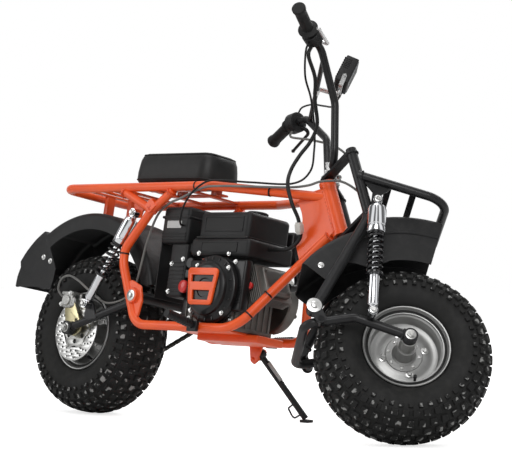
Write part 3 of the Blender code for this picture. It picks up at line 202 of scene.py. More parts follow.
def finish(name, dark, light, roughness, metallic=0.0, grain=900.0, depth=0.1, dust=0.0, coat=0.0):
    """A material whose colour and roughness wander between two values, under some dust."""
    made = bpy.data.materials.new(name)
    made.use_nodes = True
    tree = made.node_tree
    shader = tree.nodes["Principled BSDF"]
    detail = tree.nodes.new("ShaderNodeGroup")
    detail.node_tree = DETAIL
    for label, value in (("Grain", grain), ("Depth", depth), ("Dust", dust)):
        detail.inputs[label].default_value = value
    tone = add(tree, "Mix", {0: detail.outputs["Tone"], 6: (*dark, 1.0), 7: (*light, 1.0)},
               data_type="RGBA")
    dusty = add(tree, "Mix", {0: detail.outputs["Dust"], 6: tone.outputs[2], 7: DUST_COLOUR},
                data_type="RGBA")
    sheen = add(tree, "MapRange", {"Value": detail.outputs["Tone"], "To Min": roughness[0],
                                   "To Max": roughness[1]})
    tree.links.new(dusty.outputs[2], shader.inputs["Base Color"])
    tree.links.new(sheen.outputs[0], shader.inputs["Roughness"])
    tree.links.new(detail.outputs["Normal"], shader.inputs["Normal"])
    shader.inputs["Metallic"].default_value = metallic
    shader.inputs["Coat Weight"].default_value = coat
    shader.inputs["Coat Roughness"].default_value = 0.08
    shader.inputs["Specular IOR Level"].default_value = 0.28 if light[0] < 0.05 and not metallic else 0.5
    return made


ORANGE = finish("orange_paint", (0.76, 0.078, 0.008), (0.86, 0.105, 0.012), (0.36, 0.46),
                grain=240.0, depth=0.05, dust=0.02, coat=0.12)
WELD = finish("painted_weld", (0.60, 0.056, 0.007), (0.74, 0.082, 0.011), (0.36, 0.48),
              grain=700.0, depth=0.4, dust=0.06, coat=0.2)
BLACK = finish("black_paint", (0.006, 0.006, 0.0065), (0.011, 0.011, 0.012), (0.32, 0.46),
               grain=420.0, depth=0.08, dust=0.03, coat=0.08)
ZINC = finish("zinc_plate", (0.50, 0.50, 0.49), (0.68, 0.68, 0.67), (0.22, 0.38), 1.0,
              grain=1500.0, depth=0.10)


def lattice(points, wrap_rows=False, wrap_columns=False, capped=False):
    """A shape: the points of a (rows, columns, 3) grid and the quads between them. A wrapped
    direction closes on itself, and caps close the first and last rows."""
    rows, columns = points.shape[:2]
    index = np.arange(rows * columns).reshape(rows, columns)
    caps = [index[0].tolist(), index[-1][::-1].tolist()] if capped else []
    if wrap_rows:
        index = np.vstack((index, index[:1]))
    if wrap_columns:
        index = np.hstack((index, index[:, :1]))
    quads = np.stack((index[:-1, :-1], index[:-1, 1:], index[1:, 1:], index[1:, :-1]), axis=-1)
    return points.reshape(-1, 3), quads.reshape(-1, 4).tolist() + caps


def unit(vector):
    """The vector at length one."""
    return np.asarray(vector, float) / np.linalg.norm(vector)


def swept(path, radius, sides=18, closed=False):
    """A tube: circles of the radius carried along the path, each frame being the one before it
    turned by the least angle. The radius may be one number a point."""
    path = np.asarray(path, float)
    ahead = np.roll(path, -1, axis=0) - np.roll(path, 1, axis=0)
    if not closed:
        ahead[0], ahead[-1] = path[1] - path[0], path[-1] - path[-2]
    ahead /= np.linalg.norm(ahead, axis=1)[:, None]
    side = unit(np.cross(ahead[0], np.eye(3)[np.argmin(np.abs(ahead[0]))]))
    sides_at = []
    for direction in ahead:
        side = unit(side - direction * (side @ direction))
        sides_at.append(side)
    side = np.array(sides_at)[:, None]
    rise = np.cross(ahead[:, None], side)
    angle = np.linspace(0, 2 * math.pi, sides, endpoint=False)[None, :, None]
    reach = np.broadcast_to(np.asarray(radius, float).reshape(-1, 1, 1), (len(path), 1, 1))
    rings = path[:, None] + reach * (side * np.cos(angle) + rise * np.sin(angle))
    return lattice(rings, closed, True, not closed)


def bent(points, radii, steps=7):
    """The open polyline with its corners rounded: at each, an arc of its radius that touches
    both sides. One radius serves all the corners."""
    places = [np.array(point, float) for point in points]
    radii = [radii] * len(places) if np.isscalar(radii) else [0, *radii]
    path = [places[0]]
    for index in range(1, len(places) - 1):
        back, onto = unit(places[index - 1] - places[index]), unit(places[index + 1] - places[index])
        angle = math.acos(np.clip(back @ onto, -1, 1))
        if math.pi - angle < 0.02:
            path.append(places[index])
            continue
        centre = places[index] + unit(back + onto) * radii[index] / math.sin(angle / 2)
        reach = radii[index] / math.tan(angle / 2)
        start, stop = (places[index] + side * reach - centre for side in (back, onto))
        turn = math.pi - angle
        part = np.linspace(0, turn, steps)[:, None]
        path += list(centre + (start * np.sin(turn - part) + stop * np.sin(part)) / math.sin(turn))
    return np.array(path + [places[-1]])


def basis(direction):
    """Two directions square to the given one, and itself, as a matrix's columns."""
    direction = unit(direction)
    side = unit(np.cross(np.eye(3)[np.argmin(np.abs(direction))], direction))
    return np.column_stack((side, np.cross(direction, side), direction))


def revolved(profile, place, direction, sides=48, wrap=False):
    """The (radius, height) profile spun about the direction from the place."""
    radius, height = np.array(profile, float).T
    angle = np.linspace(0, 2 * math.pi, sides, endpoint=False)
    rings = np.stack((radius[:, None] * np.cos(angle), radius[:, None] * np.sin(angle),
                      np.broadcast_to(height[:, None], (len(radius), sides))), axis=-1)
    return lattice(np.asarray(place, float) + rings @ basis(direction).T, wrap, True)


def rod(start, stop, radius, edge=0.0008, sides=28):
    """A round bar between two places with chamfered ends."""
    start, stop = np.asarray(start, float), np.asarray(stop, float)
    length = np.linalg.norm(stop - start)
    return revolved([(0, 0), (radius - edge, 0), (radius, edge), (radius, length - edge),
                     (radius - edge, length), (0, length)], start, stop - start, sides)


def sleeve(inner, outer, low, high, place, direction, sides=40, edge=0.001):
    """A tube from a low to a high distance along the direction, its outer ends chamfered."""
    step = math.copysign(edge, high - low)
    return revolved([(inner, low), (outer - edge, low), (outer, low + step), (outer, high - step),
                     (outer - edge, high), (inner, high)], place, direction, sides, True)


def bolt(place, direction, size=0.006, washer=0.009, length=0.004):
    """A hexagon head on a washer, both square to the direction."""
    flat, head = 0.0012, np.asarray(place, float)
    crown = [(0, flat + length), (size * 0.78, flat + length), (size, flat + length * 0.8),
             (size, flat), (0, flat)]
    disc = [(0, 0), (washer, 0), (washer, flat * 0.7), (washer * 0.94, flat), (0, flat)]
    return [revolved(crown, head, direction, 6), revolved(disc, head, direction, 24)]


def bolts(places, direction, *sizes):
    """The same bolt at several places."""
    return [shape for place in places for shape in bolt(place, direction, *sizes)]


def box(size, centre, edge=0.003, turn=None):
    """A block whose edges and corners are rounded: points of a cube's faces, set the edge's
    radius out from the block that lies that radius further in."""
    half = np.asarray(size, float) / 2
    edge = min(edge, half.min() * 0.98)
    steps = np.tan(np.radians((45, 22.5, 0)))
    shapes = []
    for axis in range(3):
        first, second = (axis + 1) % 3, (axis + 2) % 3
        runs = [np.concatenate((-(half[k] - edge) - edge * steps, (half[k] - edge) + edge * steps[::-1]))
                for k in (first, second)]
        for sign in (-1, 1):
            grid = np.zeros((6, 6, 3))
            grid[..., axis] = sign * half[axis]
            grid[..., first], grid[..., second] = np.meshgrid(runs[0], runs[1], indexing="ij")
            inner = np.clip(grid, edge - half, half - edge)
            out = grid - inner
            grid = inner + edge * out / np.linalg.norm(out, axis=-1, keepdims=True)
            if turn is not None:
                grid = grid @ np.asarray(turn).T
            points, quads = lattice(grid + np.asarray(centre, float))
            shapes.append((points, quads if sign > 0 else [quad[::-1] for quad in quads]))
    return merged(shapes)


def merged(shapes):
    """Several shapes as one."""
    starts = np.cumsum([0] + [len(points) for points, _ in shapes[:-1]])
    return (np.concatenate([points for points, _ in shapes]),
            [[index + start for index in face]
             for start, (_, faces) in zip(starts.tolist(), shapes) for face in faces])


def inset(outline, by):
    """The closed (x, z) outline with each point moved inwards by about the distance."""
    places = np.asarray(outline, float)
    into = places - np.roll(places, 1, axis=0)
    onto = np.roll(places, -1, axis=0) - places
    into /= np.linalg.norm(into, axis=1)[:, None]
    onto /= np.linalg.norm(onto, axis=1)[:, None]
    area = np.sum(places[:, 0] * np.roll(places[:, 1], -1) - places[:, 1] * np.roll(places[:, 0], -1))
    normal = np.column_stack((into[:, 1] + onto[:, 1], -into[:, 0] - onto[:, 0]))
    normal /= np.linalg.norm(normal, axis=1)[:, None]
    return places - normal * by * math.copysign(1, area)


def plate(outline, low, high, edge=0.0012):
    """A flat plate in the XZ plane between two y values, chamfered round both faces."""
    rings = [(inset(outline, edge), low), (np.asarray(outline, float), low + edge),
             (np.asarray(outline, float), high - edge), (inset(outline, edge), high)]
    grid = np.stack([np.column_stack((ring[:, 0], np.full(len(ring), y), ring[:, 1]))
                     for ring, y in rings])
    return lattice(grid, False, True, True)


def bead(place, direction, radius, size=0.0026, ripples=22):
    """A weld: a ring round a tube, swollen and pinched by a cosine as its puddles froze."""
    angle = np.linspace(0, 2 * math.pi, ripples * 6, endpoint=False)
    swell = size * (1 + 0.28 * np.cos(ripples * angle))
    line = np.column_stack((radius * np.cos(angle), radius * np.sin(angle), 0 * angle))
    return swept(np.asarray(place, float) + line @ basis(direction).T, swell, 8, True)


def piece(name, shapes, place, body, material, slot, stands_for=(), sharp=35, bevel=0.0, masks=None):
    """One object of the shapes, set into the row frame, riding on a body. Masks are values for
    each point that the material reads by name."""
    points, faces = merged(shapes)
    mesh = bpy.data.meshes.new(name)
    mesh.from_pydata(place(points), [], faces)
    for label, values in (masks or {}).items():
        mesh.attributes.new(label, "FLOAT", "POINT").data.foreach_set("value", values)
    welded = bmesh.new()
    welded.from_mesh(mesh)
    bmesh.ops.remove_doubles(welded, verts=welded.verts, dist=1e-6)
    bmesh.ops.dissolve_degenerate(welded, edges=welded.edges, dist=1e-7)
    bmesh.ops.recalc_face_normals(welded, faces=welded.faces)
    welded.to_mesh(mesh)
    welded.free()
    mesh.shade_smooth()
    mesh.set_sharp_from_angle(angle=math.radians(sharp))
    mesh.materials.append(material)
    made = bpy.data.objects.new(name, mesh)
    bpy.context.scene.collection.objects.link(made)
    if bevel:
        rounding = made.modifiers.new("edge", "BEVEL")
        rounding.width, rounding.segments, rounding.limit_method = bevel, 2, "ANGLE"
        rounding.harden_normals = True
    if body:
        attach(made, body)
    if stands_for:
        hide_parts(*stands_for)
    return made


def on_frame(name, shapes, material, slot, *nodes, **options):
    """A piece of the frame and of what is fixed to it, in place of the named nodes."""
    return piece(name, shapes, machine, "chassis", material, slot, nodes, **options)


def on_fork(name, shapes, material, slot, *nodes, **options):
    """The same for what turns with the steering."""
    return piece(name, shapes, steered, "steering", material, slot, nodes, **options)


LEFT = (0, 1, 0)
GAP = 0.0003
TUBE_R = 0.0135
SIDE_Y = 0.143
RAIL_Z, LOW_RAIL_Z = 0.672, 0.260
NECK_X, NECK_Y, NECK_HALF = 0.845, 0.030, 0.024
PIVOT = (0.295, 0.344)
REAR_SHOCK_TOP = (0.248, 0.593)
STAND_PIVOT = np.array((0.535, SIDE_Y + 0.029, 0.226))
STAND_AXIS = unit((0.14, 0.70, 0.69))
LOOP = [(0.322, SIDE_Y, 0.606), (0.224, SIDE_Y, 0.485), (0.226, SIDE_Y, 0.440),
        (0.316, SIDE_Y, LOW_RAIL_Z), (NECK_X - 0.110, SIDE_Y, LOW_RAIL_Z),
        (NECK_X - 0.007, NECK_Y - 0.006, 0.462), (NECK_X + 0.088, 0.013, 0.551)]


def sided(shape, side):
    """The shape of the left side, or its mirror image on the right."""
    points, faces = shape
    return (points, faces) if side > 0 else (points * (1, -1, 1), [face[::-1] for face in faces])


def at_y(spot, y):
    """An (x, z) spot at a distance to the left."""
    return np.array((spot[0], y, spot[1]))


def eased(outline, radius):
    """The closed (x, z) outline with an arc of the radius at each corner."""
    corners = [(x, 0.0, z) for x, z in outline]
    start = (np.array(corners[-1]) + corners[0]) / 2
    return bent([start, *corners, start], radius, 6)[:-1, (0, 2)]


pivot_outline = eased([(0.258, 0.400), (0.322, 0.374), (0.334, 0.330), (0.325, 0.282), (0.298, 0.272)], 0.013)
PLATE_HALF = 0.004
lug_y = SIDE_Y + PLATE_HALF - 0.012 - GAP
lug_outline = [(0.222, 0.645), (0.278, 0.628), (REAR_SHOCK_TOP[0] + 0.014, REAR_SHOCK_TOP[1] - 0.012),
               (REAR_SHOCK_TOP[0] - 0.012, REAR_SHOCK_TOP[1] - 0.012)]
stay_outline = [(0.296, 0.612), (0.322, 0.590), (0.347, 0.612), (0.322, 0.636)]
loop_parts = [swept(bent(LOOP, (0.05, 0.08, 0.06, 0.09, 0.07)), TUBE_R),
              swept([(0.182, SIDE_Y, RAIL_Z - TUBE_R + 0.002), (0.320, SIDE_Y, 0.602)], TUBE_R - 0.001),
              swept([(0.402, SIDE_Y, RAIL_Z - TUBE_R + 0.002), (0.318, SIDE_Y, 0.601)], TUBE_R - 0.001),
              plate(pivot_outline, SIDE_Y - PLATE_HALF, SIDE_Y + PLATE_HALF),
              plate(lug_outline, lug_y - 0.006, lug_y),
              plate(stay_outline, SIDE_Y - 0.0145, SIDE_Y + 0.0145, 0.002),
              sleeve(0.0075, 0.022, 0, 0.030, at_y(PIVOT, SIDE_Y - 0.016), LEFT)]
loop_beads = [bead((0.320, SIDE_Y, 0.604), (0.64, 0, 0.77), TUBE_R + 0.0006),
              bead((0.190, SIDE_Y, 0.6545), (0.136, 0, -0.069), TUBE_R + 0.0012),
              bead((0.394, SIDE_Y, 0.6535), (0.082, 0, 0.069), TUBE_R + 0.0012),
              bead((0.3235, SIDE_Y, 0.6085), (-0.82, 0, 0.57), TUBE_R),
              bead(at_y(PIVOT, SIDE_Y + 0.0035), LEFT, 0.0225),
              bead((NECK_X + 0.085, 0.0133, 0.5482), (0.095, -0.011, 0.089), TUBE_R + 0.0006)]
stand_plate = [(STAND_PIVOT[0] - 0.028, LOW_RAIL_Z), (STAND_PIVOT[0] + 0.034, LOW_RAIL_Z),
               (STAND_PIVOT[0] + 0.014, 0.204), (STAND_PIVOT[0] + 0.006, 0.198),
               (STAND_PIVOT[0] - 0.006, 0.198), (STAND_PIVOT[0] - 0.014, 0.204)]
stand_parts = [plate(stand_plate, SIDE_Y + 0.002, SIDE_Y + 0.008),
               rod(STAND_PIVOT - STAND_AXIS * 0.034, STAND_PIVOT - STAND_AXIS * 0.0131, 0.011),
               rod(STAND_PIVOT - STAND_AXIS * 0.020, STAND_PIVOT + STAND_AXIS * 0.0165, 0.005),
               rod(STAND_PIVOT + STAND_AXIS * 0.0131, STAND_PIVOT + STAND_AXIS * 0.0185, 0.009, sides=6)]
for side, label in ((1, "left"), (-1, "right")):
    on_frame("loop_tubes_" + label, [sided(shape, side) for shape in loop_parts]
             + (stand_parts if side > 0 else []), ORANGE, "frame_paint", "frame_loop_" + label)
    on_frame("loop_welds_" + label, [sided(shape, side) for shape in loop_beads], WELD, "frame_paint")

RAIL_NECK_Z = 0.662
RACK_END_X = -0.100
RACK_SLATS = (-0.045, 0.010, 0.065, 0.120, 0.235, 0.385)
SLAT_W, SLAT_T = 0.022, 0.006
rail_half = [(NECK_X + 0.050, NECK_Y - 0.0198, RAIL_NECK_Z - 0.0022), (NECK_X - 0.285, SIDE_Y, RAIL_Z),
             (RACK_END_X, SIDE_Y, RAIL_Z)]
rail_line = bent(rail_half + [(x, -y, z) for x, y, z in rail_half[::-1]], 0.045, 9)
REAR_GUARD_R = 0.364
rail_parts = [swept(rail_line, TUBE_R)]
rail_beads = []
for x in RACK_SLATS:
    rail_parts.append(box((SLAT_W, 2 * SIDE_Y, SLAT_T), (x, 0, RAIL_Z + 0.004), 0.0012))
    rail_beads += [swept([(x - SLAT_W / 2, y, RAIL_Z + 0.007), (x + SLAT_W / 2, y, RAIL_Z + 0.007)],
                         0.0022, 8) for y in (SIDE_Y - 0.0115, 0.0115 - SIDE_Y)]
for x in (RACK_SLATS[0], RACK_SLATS[2]):
    foot_z = AXLE_Z + math.sqrt(REAR_GUARD_R ** 2 - (abs(x) - 0.008) ** 2) + GAP
    rail_parts.append(box((0.016, 0.030, RAIL_Z + 0.004 - foot_z), (x, 0, (RAIL_Z + 0.004 + foot_z) / 2),
                          0.0012))
for y in (-0.045, 0.045):
    rail_parts.append(box((0.24, 0.024, 0.006), (0.305, y, RAIL_Z + 0.010), 0.0012))
    rail_parts += [box((0.024, 0.024, 0.022), (x, y, RAIL_Z + 0.019), 0.0012) for x in (0.235, 0.385)]
on_frame("top_rails", rail_parts, ORANGE, "frame_paint", "frame_rails")
on_frame("rail_welds", rail_beads, WELD, "frame_paint")

HEAD_R, HEAD_LOW, HEAD_HIGH = 0.022, 0.350, 0.524


def arc(centre, radius, start, stop, steps):
    """(x, z) points of an arc between two angles in degrees."""
    angle = np.radians(np.linspace(start, stop, steps + 1))
    return np.column_stack((centre[0] + radius * np.cos(angle), centre[1] + radius * np.sin(angle)))


head_low = STEER_FOOT + STEER_UP * HEAD_LOW
gusset = np.vstack(([(NECK_X, 0.452), (NECK_X + 0.110, 0.560), (NECK_X + 0.048, 0.686),
                     (NECK_X - 0.027, 0.668)], arc((NECK_X - 0.110, 0.575), 0.090, 50, -35, 14)))
head_length = HEAD_HIGH - HEAD_LOW
head_tube = revolved([(0.0137, 0), (HEAD_R + 0.001, 0), (HEAD_R + 0.002, 0.001), (HEAD_R + 0.002, 0.010),
                      (HEAD_R, 0.012), (HEAD_R, head_length - 0.012), (HEAD_R + 0.002, head_length - 0.010),
                      (HEAD_R + 0.002, head_length - 0.001), (HEAD_R + 0.001, head_length),
                      (0.0137, head_length)], head_low, STEER_UP, 48, True)
on_frame("neck", [head_tube, plate(gusset, -NECK_HALF, NECK_HALF, 0.003)], ORANGE, "frame_paint",
         "frame_neck")
seam = np.linspace(0.018, head_length - 0.018, 60)[:, None]
seam_swell = 0.0022 * (1 + 0.25 * np.cos(np.arange(60) * 1.3))
neck_beads = [swept(head_low + STEER_UP * seam - unit((math.cos(0.49), 0, math.sin(0.49))) * 0.006
                    + np.array((0, side * 0.0222, 0)), seam_swell, 8) for side in (-1, 1)]
on_frame("neck_welds", neck_beads, WELD, "frame_paint")

BED_TOP = 0.263
bed_parts = [box((0.255, 2 * (SIDE_Y - TUBE_R - GAP), 0.006), (0.5375, 0, BED_TOP - 0.003), 0.001),
             box((0.250, 0.11, 0.022), (0.585, 0.030, BED_TOP - 0.014), 0.004)]
on_frame("engine_plate", bed_parts, ORANGE, "frame_paint", "engine_bed")

# The wheels: silver steel rims with a rolled lip, a stepped barrel and a pressed disc bolted to
# the hub, and balloon tyres of dusty black rubber moulded with rows of staggered knobs.
WHEELBASE = 1.215
RIM_SILVER = finish("silver_rim_paint", (0.27, 0.27, 0.265), (0.40, 0.40, 0.395), (0.34, 0.48), 0.70,
                    grain=600.0, depth=0.12, dust=0.15)
TYRE_CROWN_R = 0.2355
KNOB_H, KNOBS_ROUND = 0.0068, 44
TYRE_HALF = [(0.1035, 0.0655), (0.1195, 0.0672), (0.1260, 0.0760), (0.1480, 0.0868), (0.1760, 0.0893),
             (0.1990, 0.0850), (0.2130, 0.0745), (0.2240, 0.0600), (0.2315, 0.0400), (0.2350, 0.0200)]
# Each row of knobs: place across the tread as a share of the half girth, half width, half length
# along the tread in metres, and its offset round the tyre as a share of the pitch.
KNOB_ROWS = ((0.000, 0.0120, 0.0105, 0.0), (0.165, 0.0105, 0.0110, 0.5), (0.330, 0.0105, 0.0100, 0.0),
             (0.468, 0.0085, 0.0115, 0.5), (0.572, 0.0060, 0.0080, 0.0))


def smooth_line(points, spacing):
    """Catmull-Rom: through the points, leaving each in the direction its neighbours give."""
    places = np.array([np.asarray(point, float) for point in points])
    ends = np.vstack((2 * places[0] - places[1], places, 2 * places[-1] - places[-2]))
    path = []
    for before, start, stop, after in zip(ends, ends[1:], ends[2:], ends[3:]):
        steps = max(1, round(np.linalg.norm(stop - start) / spacing))
        t = (np.arange(steps) / steps)[:, None]
        path.append(0.5 * (2 * start + (stop - before) * t
                           + (2 * before - 5 * start + 4 * stop - after) * t ** 2
                           + (3 * start - before - 3 * stop + after) * t ** 3))
    return np.vstack(path + [places[-1:]])


def tyre_material():
    """Black rubber with a grey bloom, and pale scuffs where the attribute says a face is worn."""
    made = finish("tyre_rubber", (0.0055, 0.0055, 0.0055), (0.011, 0.011, 0.0105), (0.62, 0.80),
                  grain=1100.0, depth=0.25, dust=0.06)
    tree = made.node_tree
    shader = tree.nodes["Principled BSDF"]
    place = add(tree, "TexCoord").outputs["Object"]
    scuffs = add(tree, "TexNoise", {"Vector": place, "Scale": 62.0, "Detail": 3.0})
    bright = add(tree, "MapRange", {"Value": scuffs.outputs[0], "From Min": 0.555, "From Max": 0.62,
                                    "To Max": 0.55})
    worn = add(tree, "Attribute", attribute_name="worn").outputs["Fac"]
    mask = add(tree, "Math", {0: worn, 1: bright.outputs[0]}, operation="MULTIPLY")
    under = shader.inputs["Base Color"].links[0].from_socket
    pale = add(tree, "Mix", {0: mask.outputs[0], 6: under, 7: (0.42, 0.42, 0.41, 1.0)}, data_type="RGBA")
    tree.links.new(pale.outputs[2], shader.inputs["Base Color"])
    return made


TYRE_RUBBER = tyre_material()


def walked(line):
    """The distance along the line to each of its points."""
    return np.concatenate(([0], np.cumsum(np.linalg.norm(np.diff(line, axis=0), axis=1))))


def tyre_shapes(centre):
    """The casing, a smooth profile spun about the axle, and the knobs: each a grid over its patch
    of the casing, lifted along the casing's normal by the lesser of two step-shaped heights."""
    half = smooth_line([(r, y, 0) for r, y in TYRE_HALF] + [(TYRE_CROWN_R, 0.0, 0)], 0.006)[:, :2]
    line = np.vstack((half, (half[-2::-1] * (1, -1))))
    girth = walked(line)
    slope = np.gradient(line, girth, axis=0)
    normal = np.column_stack((-slope[:, 1], slope[:, 0]))
    casing = revolved([(r, y) for r, y in line], centre, LEFT, 132, True)
    along = np.array((-1, -0.90, -0.80, 0, 0.80, 0.90, 1))
    lift = np.array((-0.003, KNOB_H - 0.0013, KNOB_H, KNOB_H, KNOB_H, KNOB_H - 0.0013, -0.003))
    height = np.minimum(lift[:, None], lift[None, :])
    shapes, worn = [casing], [np.zeros(len(casing[0]))]
    for share, half_w, half_l, offset in KNOB_ROWS:
        for sign in ((1,) if share == 0 else (1, -1)):
            at = girth[-1] / 2 * (1 + sign * share) + along[None, :] * half_w
            radius, y, out_r, out_y = (np.interp(at, girth, column) for column in (*line.T, *normal.T))
            start = 2 * math.pi / KNOBS_ROUND * (np.arange(KNOBS_ROUND) + offset)
            angle = start[:, None, None] + along[None, :, None] * half_l / TYRE_CROWN_R
            reach = radius + out_r * height
            grid = np.stack(np.broadcast_arrays(centre[0] + reach * np.cos(angle), y + out_y * height,
                                                centre[2] + reach * np.sin(angle)), axis=-1)
            for knob in grid:
                points, quads = lattice(knob)
                rim = np.arange(49).reshape(7, 7)
                base = [*rim[0, :-1], *rim[:-1, -1], *rim[-1, :0:-1], *rim[:0:-1, 0]]
                shapes.append((points, quads + [[int(index) for index in base]]))
                worn.append((height.ravel() > KNOB_H * 0.9).astype(float))
    return shapes, np.concatenate(worn)


def rim_profile(dish, hub_half):
    """The closed section of a rim whose disc stands at the dish's y: (radius, y) points."""
    lip = [(0.101, 0.064), (0.1145, 0.0665), (0.1190, 0.0690), (0.1200, 0.0725), (0.1185, 0.0750),
           (0.1155, 0.0745), (0.1130, 0.0700), (0.1075, 0.0600), (0.1010, 0.0570), (0.0965, 0.0540)]
    right = [(0.0960, -0.014), (0.0930, -0.006), (0.0860, -0.003), (0.0720, -0.003), (0.0660, -0.006),
             (0.0520, -0.0065), (0.0500, -0.0085), (0.0340, -0.0090), (0.0290, -0.0130)]
    left = [(0.0290, 0.0130), (0.0340, 0.0050), (0.0860, 0.0030), (0.0930, 0.006), (0.0960, 0.014)]
    hub = [(0.0270, 0.001 - hub_half), (0.0260, -hub_half), (0.0080, -hub_half)]
    return ([(r, -y) for r, y in lip] + [(r, dish + y) for r, y in right] + hub
            + [(r, -y) for r, y in hub[::-1]] + [(r, dish + y) for r, y in left] + lip[::-1])


HUB_HALF, STUD_REACH, HUB_BOLT_REACH = 0.070, 0.059, 0.042


def around(centre, radius, count, y, start=0.0):
    """Places evenly round the axle."""
    angle = start + 2 * math.pi * np.arange(count) / count
    return np.column_stack((centre[0] + radius * np.cos(angle), np.full(count, y),
                            centre[2] + radius * np.sin(angle)))


for label, x, place, dish in (("rear", 0.0, machine, 0.020), ("front", WHEELBASE, steered, -0.012)):
    centre, body = np.array((x, 0.0, AXLE_Z)), label + "_wheel"
    shapes, worn = tyre_shapes(centre)
    piece(label + "_balloon_tyre", shapes, place, body, TYRE_RUBBER, "tyre", (label + "_tyre",),
          masks={"worn": worn})
    piece(label + "_wheel_rim", [revolved(rim_profile(dish, HUB_HALF), centre, LEFT, 96, True)], place, body,
          RIM_SILVER, "rim", (label + "_rim",))
    studs = []
    for side, face in ((-1, dish - 0.0065), (1, dish + 0.0034)):
        studs += bolts(around(centre, STUD_REACH, 4, face, 0.5), (0, side, 0), 0.0072, 0.0105, 0.0055)
        inner_face = face - (0.0024 if side < 0 else 0)
        studs += bolts(around(centre, HUB_BOLT_REACH, 8, inner_face, 0.1), (0, side, 0), 0.0038, 0.0050,
                       0.0025)
    piece(label + "_wheel_bolts", studs, place, body, ZINC, "steel")
    valve = [rod((x + 0.046, -0.052, AXLE_Z - 0.086), (x + 0.043, -0.066, AXLE_Z - 0.080), 0.0036),
             rod((x + 0.043, -0.065, AXLE_Z - 0.0805), (x + 0.0425, -0.074, AXLE_Z - 0.0785), 0.0048)]
    piece(label + "_valve", valve, place, body, BLACK, "rubber")

# The axles: a ground bolt through each hub with a spacer collar on both sides and lock nuts.
SPACER_STEEL = finish("dull_steel", (0.36, 0.36, 0.35), (0.52, 0.52, 0.505), (0.28, 0.42), 1.0,
                      grain=900.0, depth=0.1)
ARM_AXLE_Y, LINK_Y = 0.129, 0.130


def axle_shapes(centre, boss_half, collar_r, collar_start, collar_end):
    """A bolt through the wheel's centre, with a collar and a nut on each side."""
    parts = [rod(centre - (0, boss_half + 0.012, 0), centre + (0, boss_half + 0.012, 0), 0.0075)]
    for side in (-1, 1):
        parts.append(sleeve(0.0082, collar_r, side * collar_start, side * collar_end, centre, LEFT))
        parts += bolt(centre + (0, side * boss_half, 0), (0, side, 0), 0.0115, 0.0145, 0.0075)
        parts.append(rod(centre + (0, side * (boss_half + 0.008), 0),
                         centre + (0, side * (boss_half + 0.013), 0), 0.0055))
    return parts


on_frame("rear_axle_bolt", axle_shapes(np.array((0.0, 0.0, AXLE_Z)), ARM_AXLE_Y + 0.0138, 0.0135, 0.1031,
                                       0.1102), SPACER_STEEL, "steel", "rear_axle")
on_fork("front_axle_bolt", axle_shapes(np.array((WHEELBASE, 0.0, AXLE_Z)), LINK_Y + 0.0138, 0.0215, 0.0706,
                                       0.1162), SPACER_STEEL, "steel", "front_axle")

# The rear brake: a drilled steel disc on the hub's right, and an alloy caliper over it above a
# gold-plated bracket on the axle.
DISC_Y, DISC_R, SHEET_HALF = -0.098, 0.096, 0.002
GOLD_ZINC = finish("gold_zinc", (0.50, 0.45, 0.27), (0.66, 0.60, 0.38), (0.30, 0.45), 1.0,
                   grain=900.0, depth=0.1)
CAST = finish("cast_aluminium", (0.115, 0.112, 0.104), (0.215, 0.208, 0.195), (0.42, 0.60), 0.75,
              grain=520.0, depth=0.45, dust=0.25)


def pierced(outline, holes, low, high, edge=0.0004):
    """A plate between two y values with holes through it: a filled flat curve, extruded."""
    curve = bpy.data.curves.new("pierced", "CURVE")
    curve.dimensions, curve.fill_mode = "2D", "BOTH"
    curve.extrude, curve.bevel_depth, curve.bevel_resolution = (high - low) / 2 - edge, edge, 1
    curve.offset = -edge
    for loop in (outline, *holes):
        spline = curve.splines.new("POLY")
        spline.points.add(len(loop) - 1)
        for point, (x, z) in zip(spline.points, loop):
            point.co = (x, z, 0.0, 1.0)
        spline.use_cyclic_u = True
    guide = bpy.data.objects.new("pierced", curve)
    mesh = bpy.data.meshes.new_from_object(guide)
    points = np.empty(len(mesh.vertices) * 3)
    mesh.vertices.foreach_get("co", points)
    points = points.reshape(-1, 3)
    faces = [list(face.vertices) for face in mesh.polygons]
    bpy.data.objects.remove(guide)
    return np.column_stack((points[:, 0], (low + high) / 2 - points[:, 2], points[:, 1])), faces


def circle(centre, radius, steps=20):
    return arc(centre, radius, 0, 360 - 360 / steps, steps - 1)


def drilled(centre, reach, count, radius, steps, start=0.0):
    """Holes evenly round a centre, the first at a share of their spacing."""
    return [circle((centre[0] + reach * math.cos(a), centre[1] + reach * math.sin(a)), radius, steps)
            for a in 2 * math.pi * (np.arange(count) + start) / count]


def lobed(centre, radius, depth):
    """An outline of six lobes."""
    angle = np.linspace(0, 2 * math.pi, 72, endpoint=False)
    reach = radius + depth * np.cos(6 * angle)
    return np.column_stack((centre[0] + reach * np.cos(angle), centre[1] + reach * np.sin(angle)))


hub = (0.0, AXLE_Z)
drillings = [hole for ring, reach in enumerate((0.066, 0.076, 0.086))
             for hole in drilled(hub, reach, 18, 0.0032, 10, ring / 3)]
lobes = lobed(hub, 0.0575, 0.0025)
disc = pierced(circle(hub, DISC_R, 96), [lobes, *drillings], DISC_Y - SHEET_HALF, DISC_Y + SHEET_HALF)
piece("drilled_disc", [disc], machine, "rear_wheel", ZINC, "steel", ("brake_disc",))
carrier_holes = [circle(hub, 0.012, 24), *drilled(hub, 0.036, 6, 0.0075, 14, 0.5)]
carrier = [pierced(lobed(hub, 0.056, 0.006), carrier_holes, DISC_Y - 0.0012, DISC_Y + 0.0030),
           revolved([(0.010, DISC_Y + 0.002), (0.028, DISC_Y + 0.002), (0.030, -HUB_HALF - GAP),
                     (0.010, -HUB_HALF - GAP)], (0, 0, AXLE_Z), LEFT, 40, True)]
carrier += bolts(around((0, 0, AXLE_Z), STUD_REACH, 6, DISC_Y - 0.0022), (0, -1, 0), 0.0045, 0.0060, 0.003)
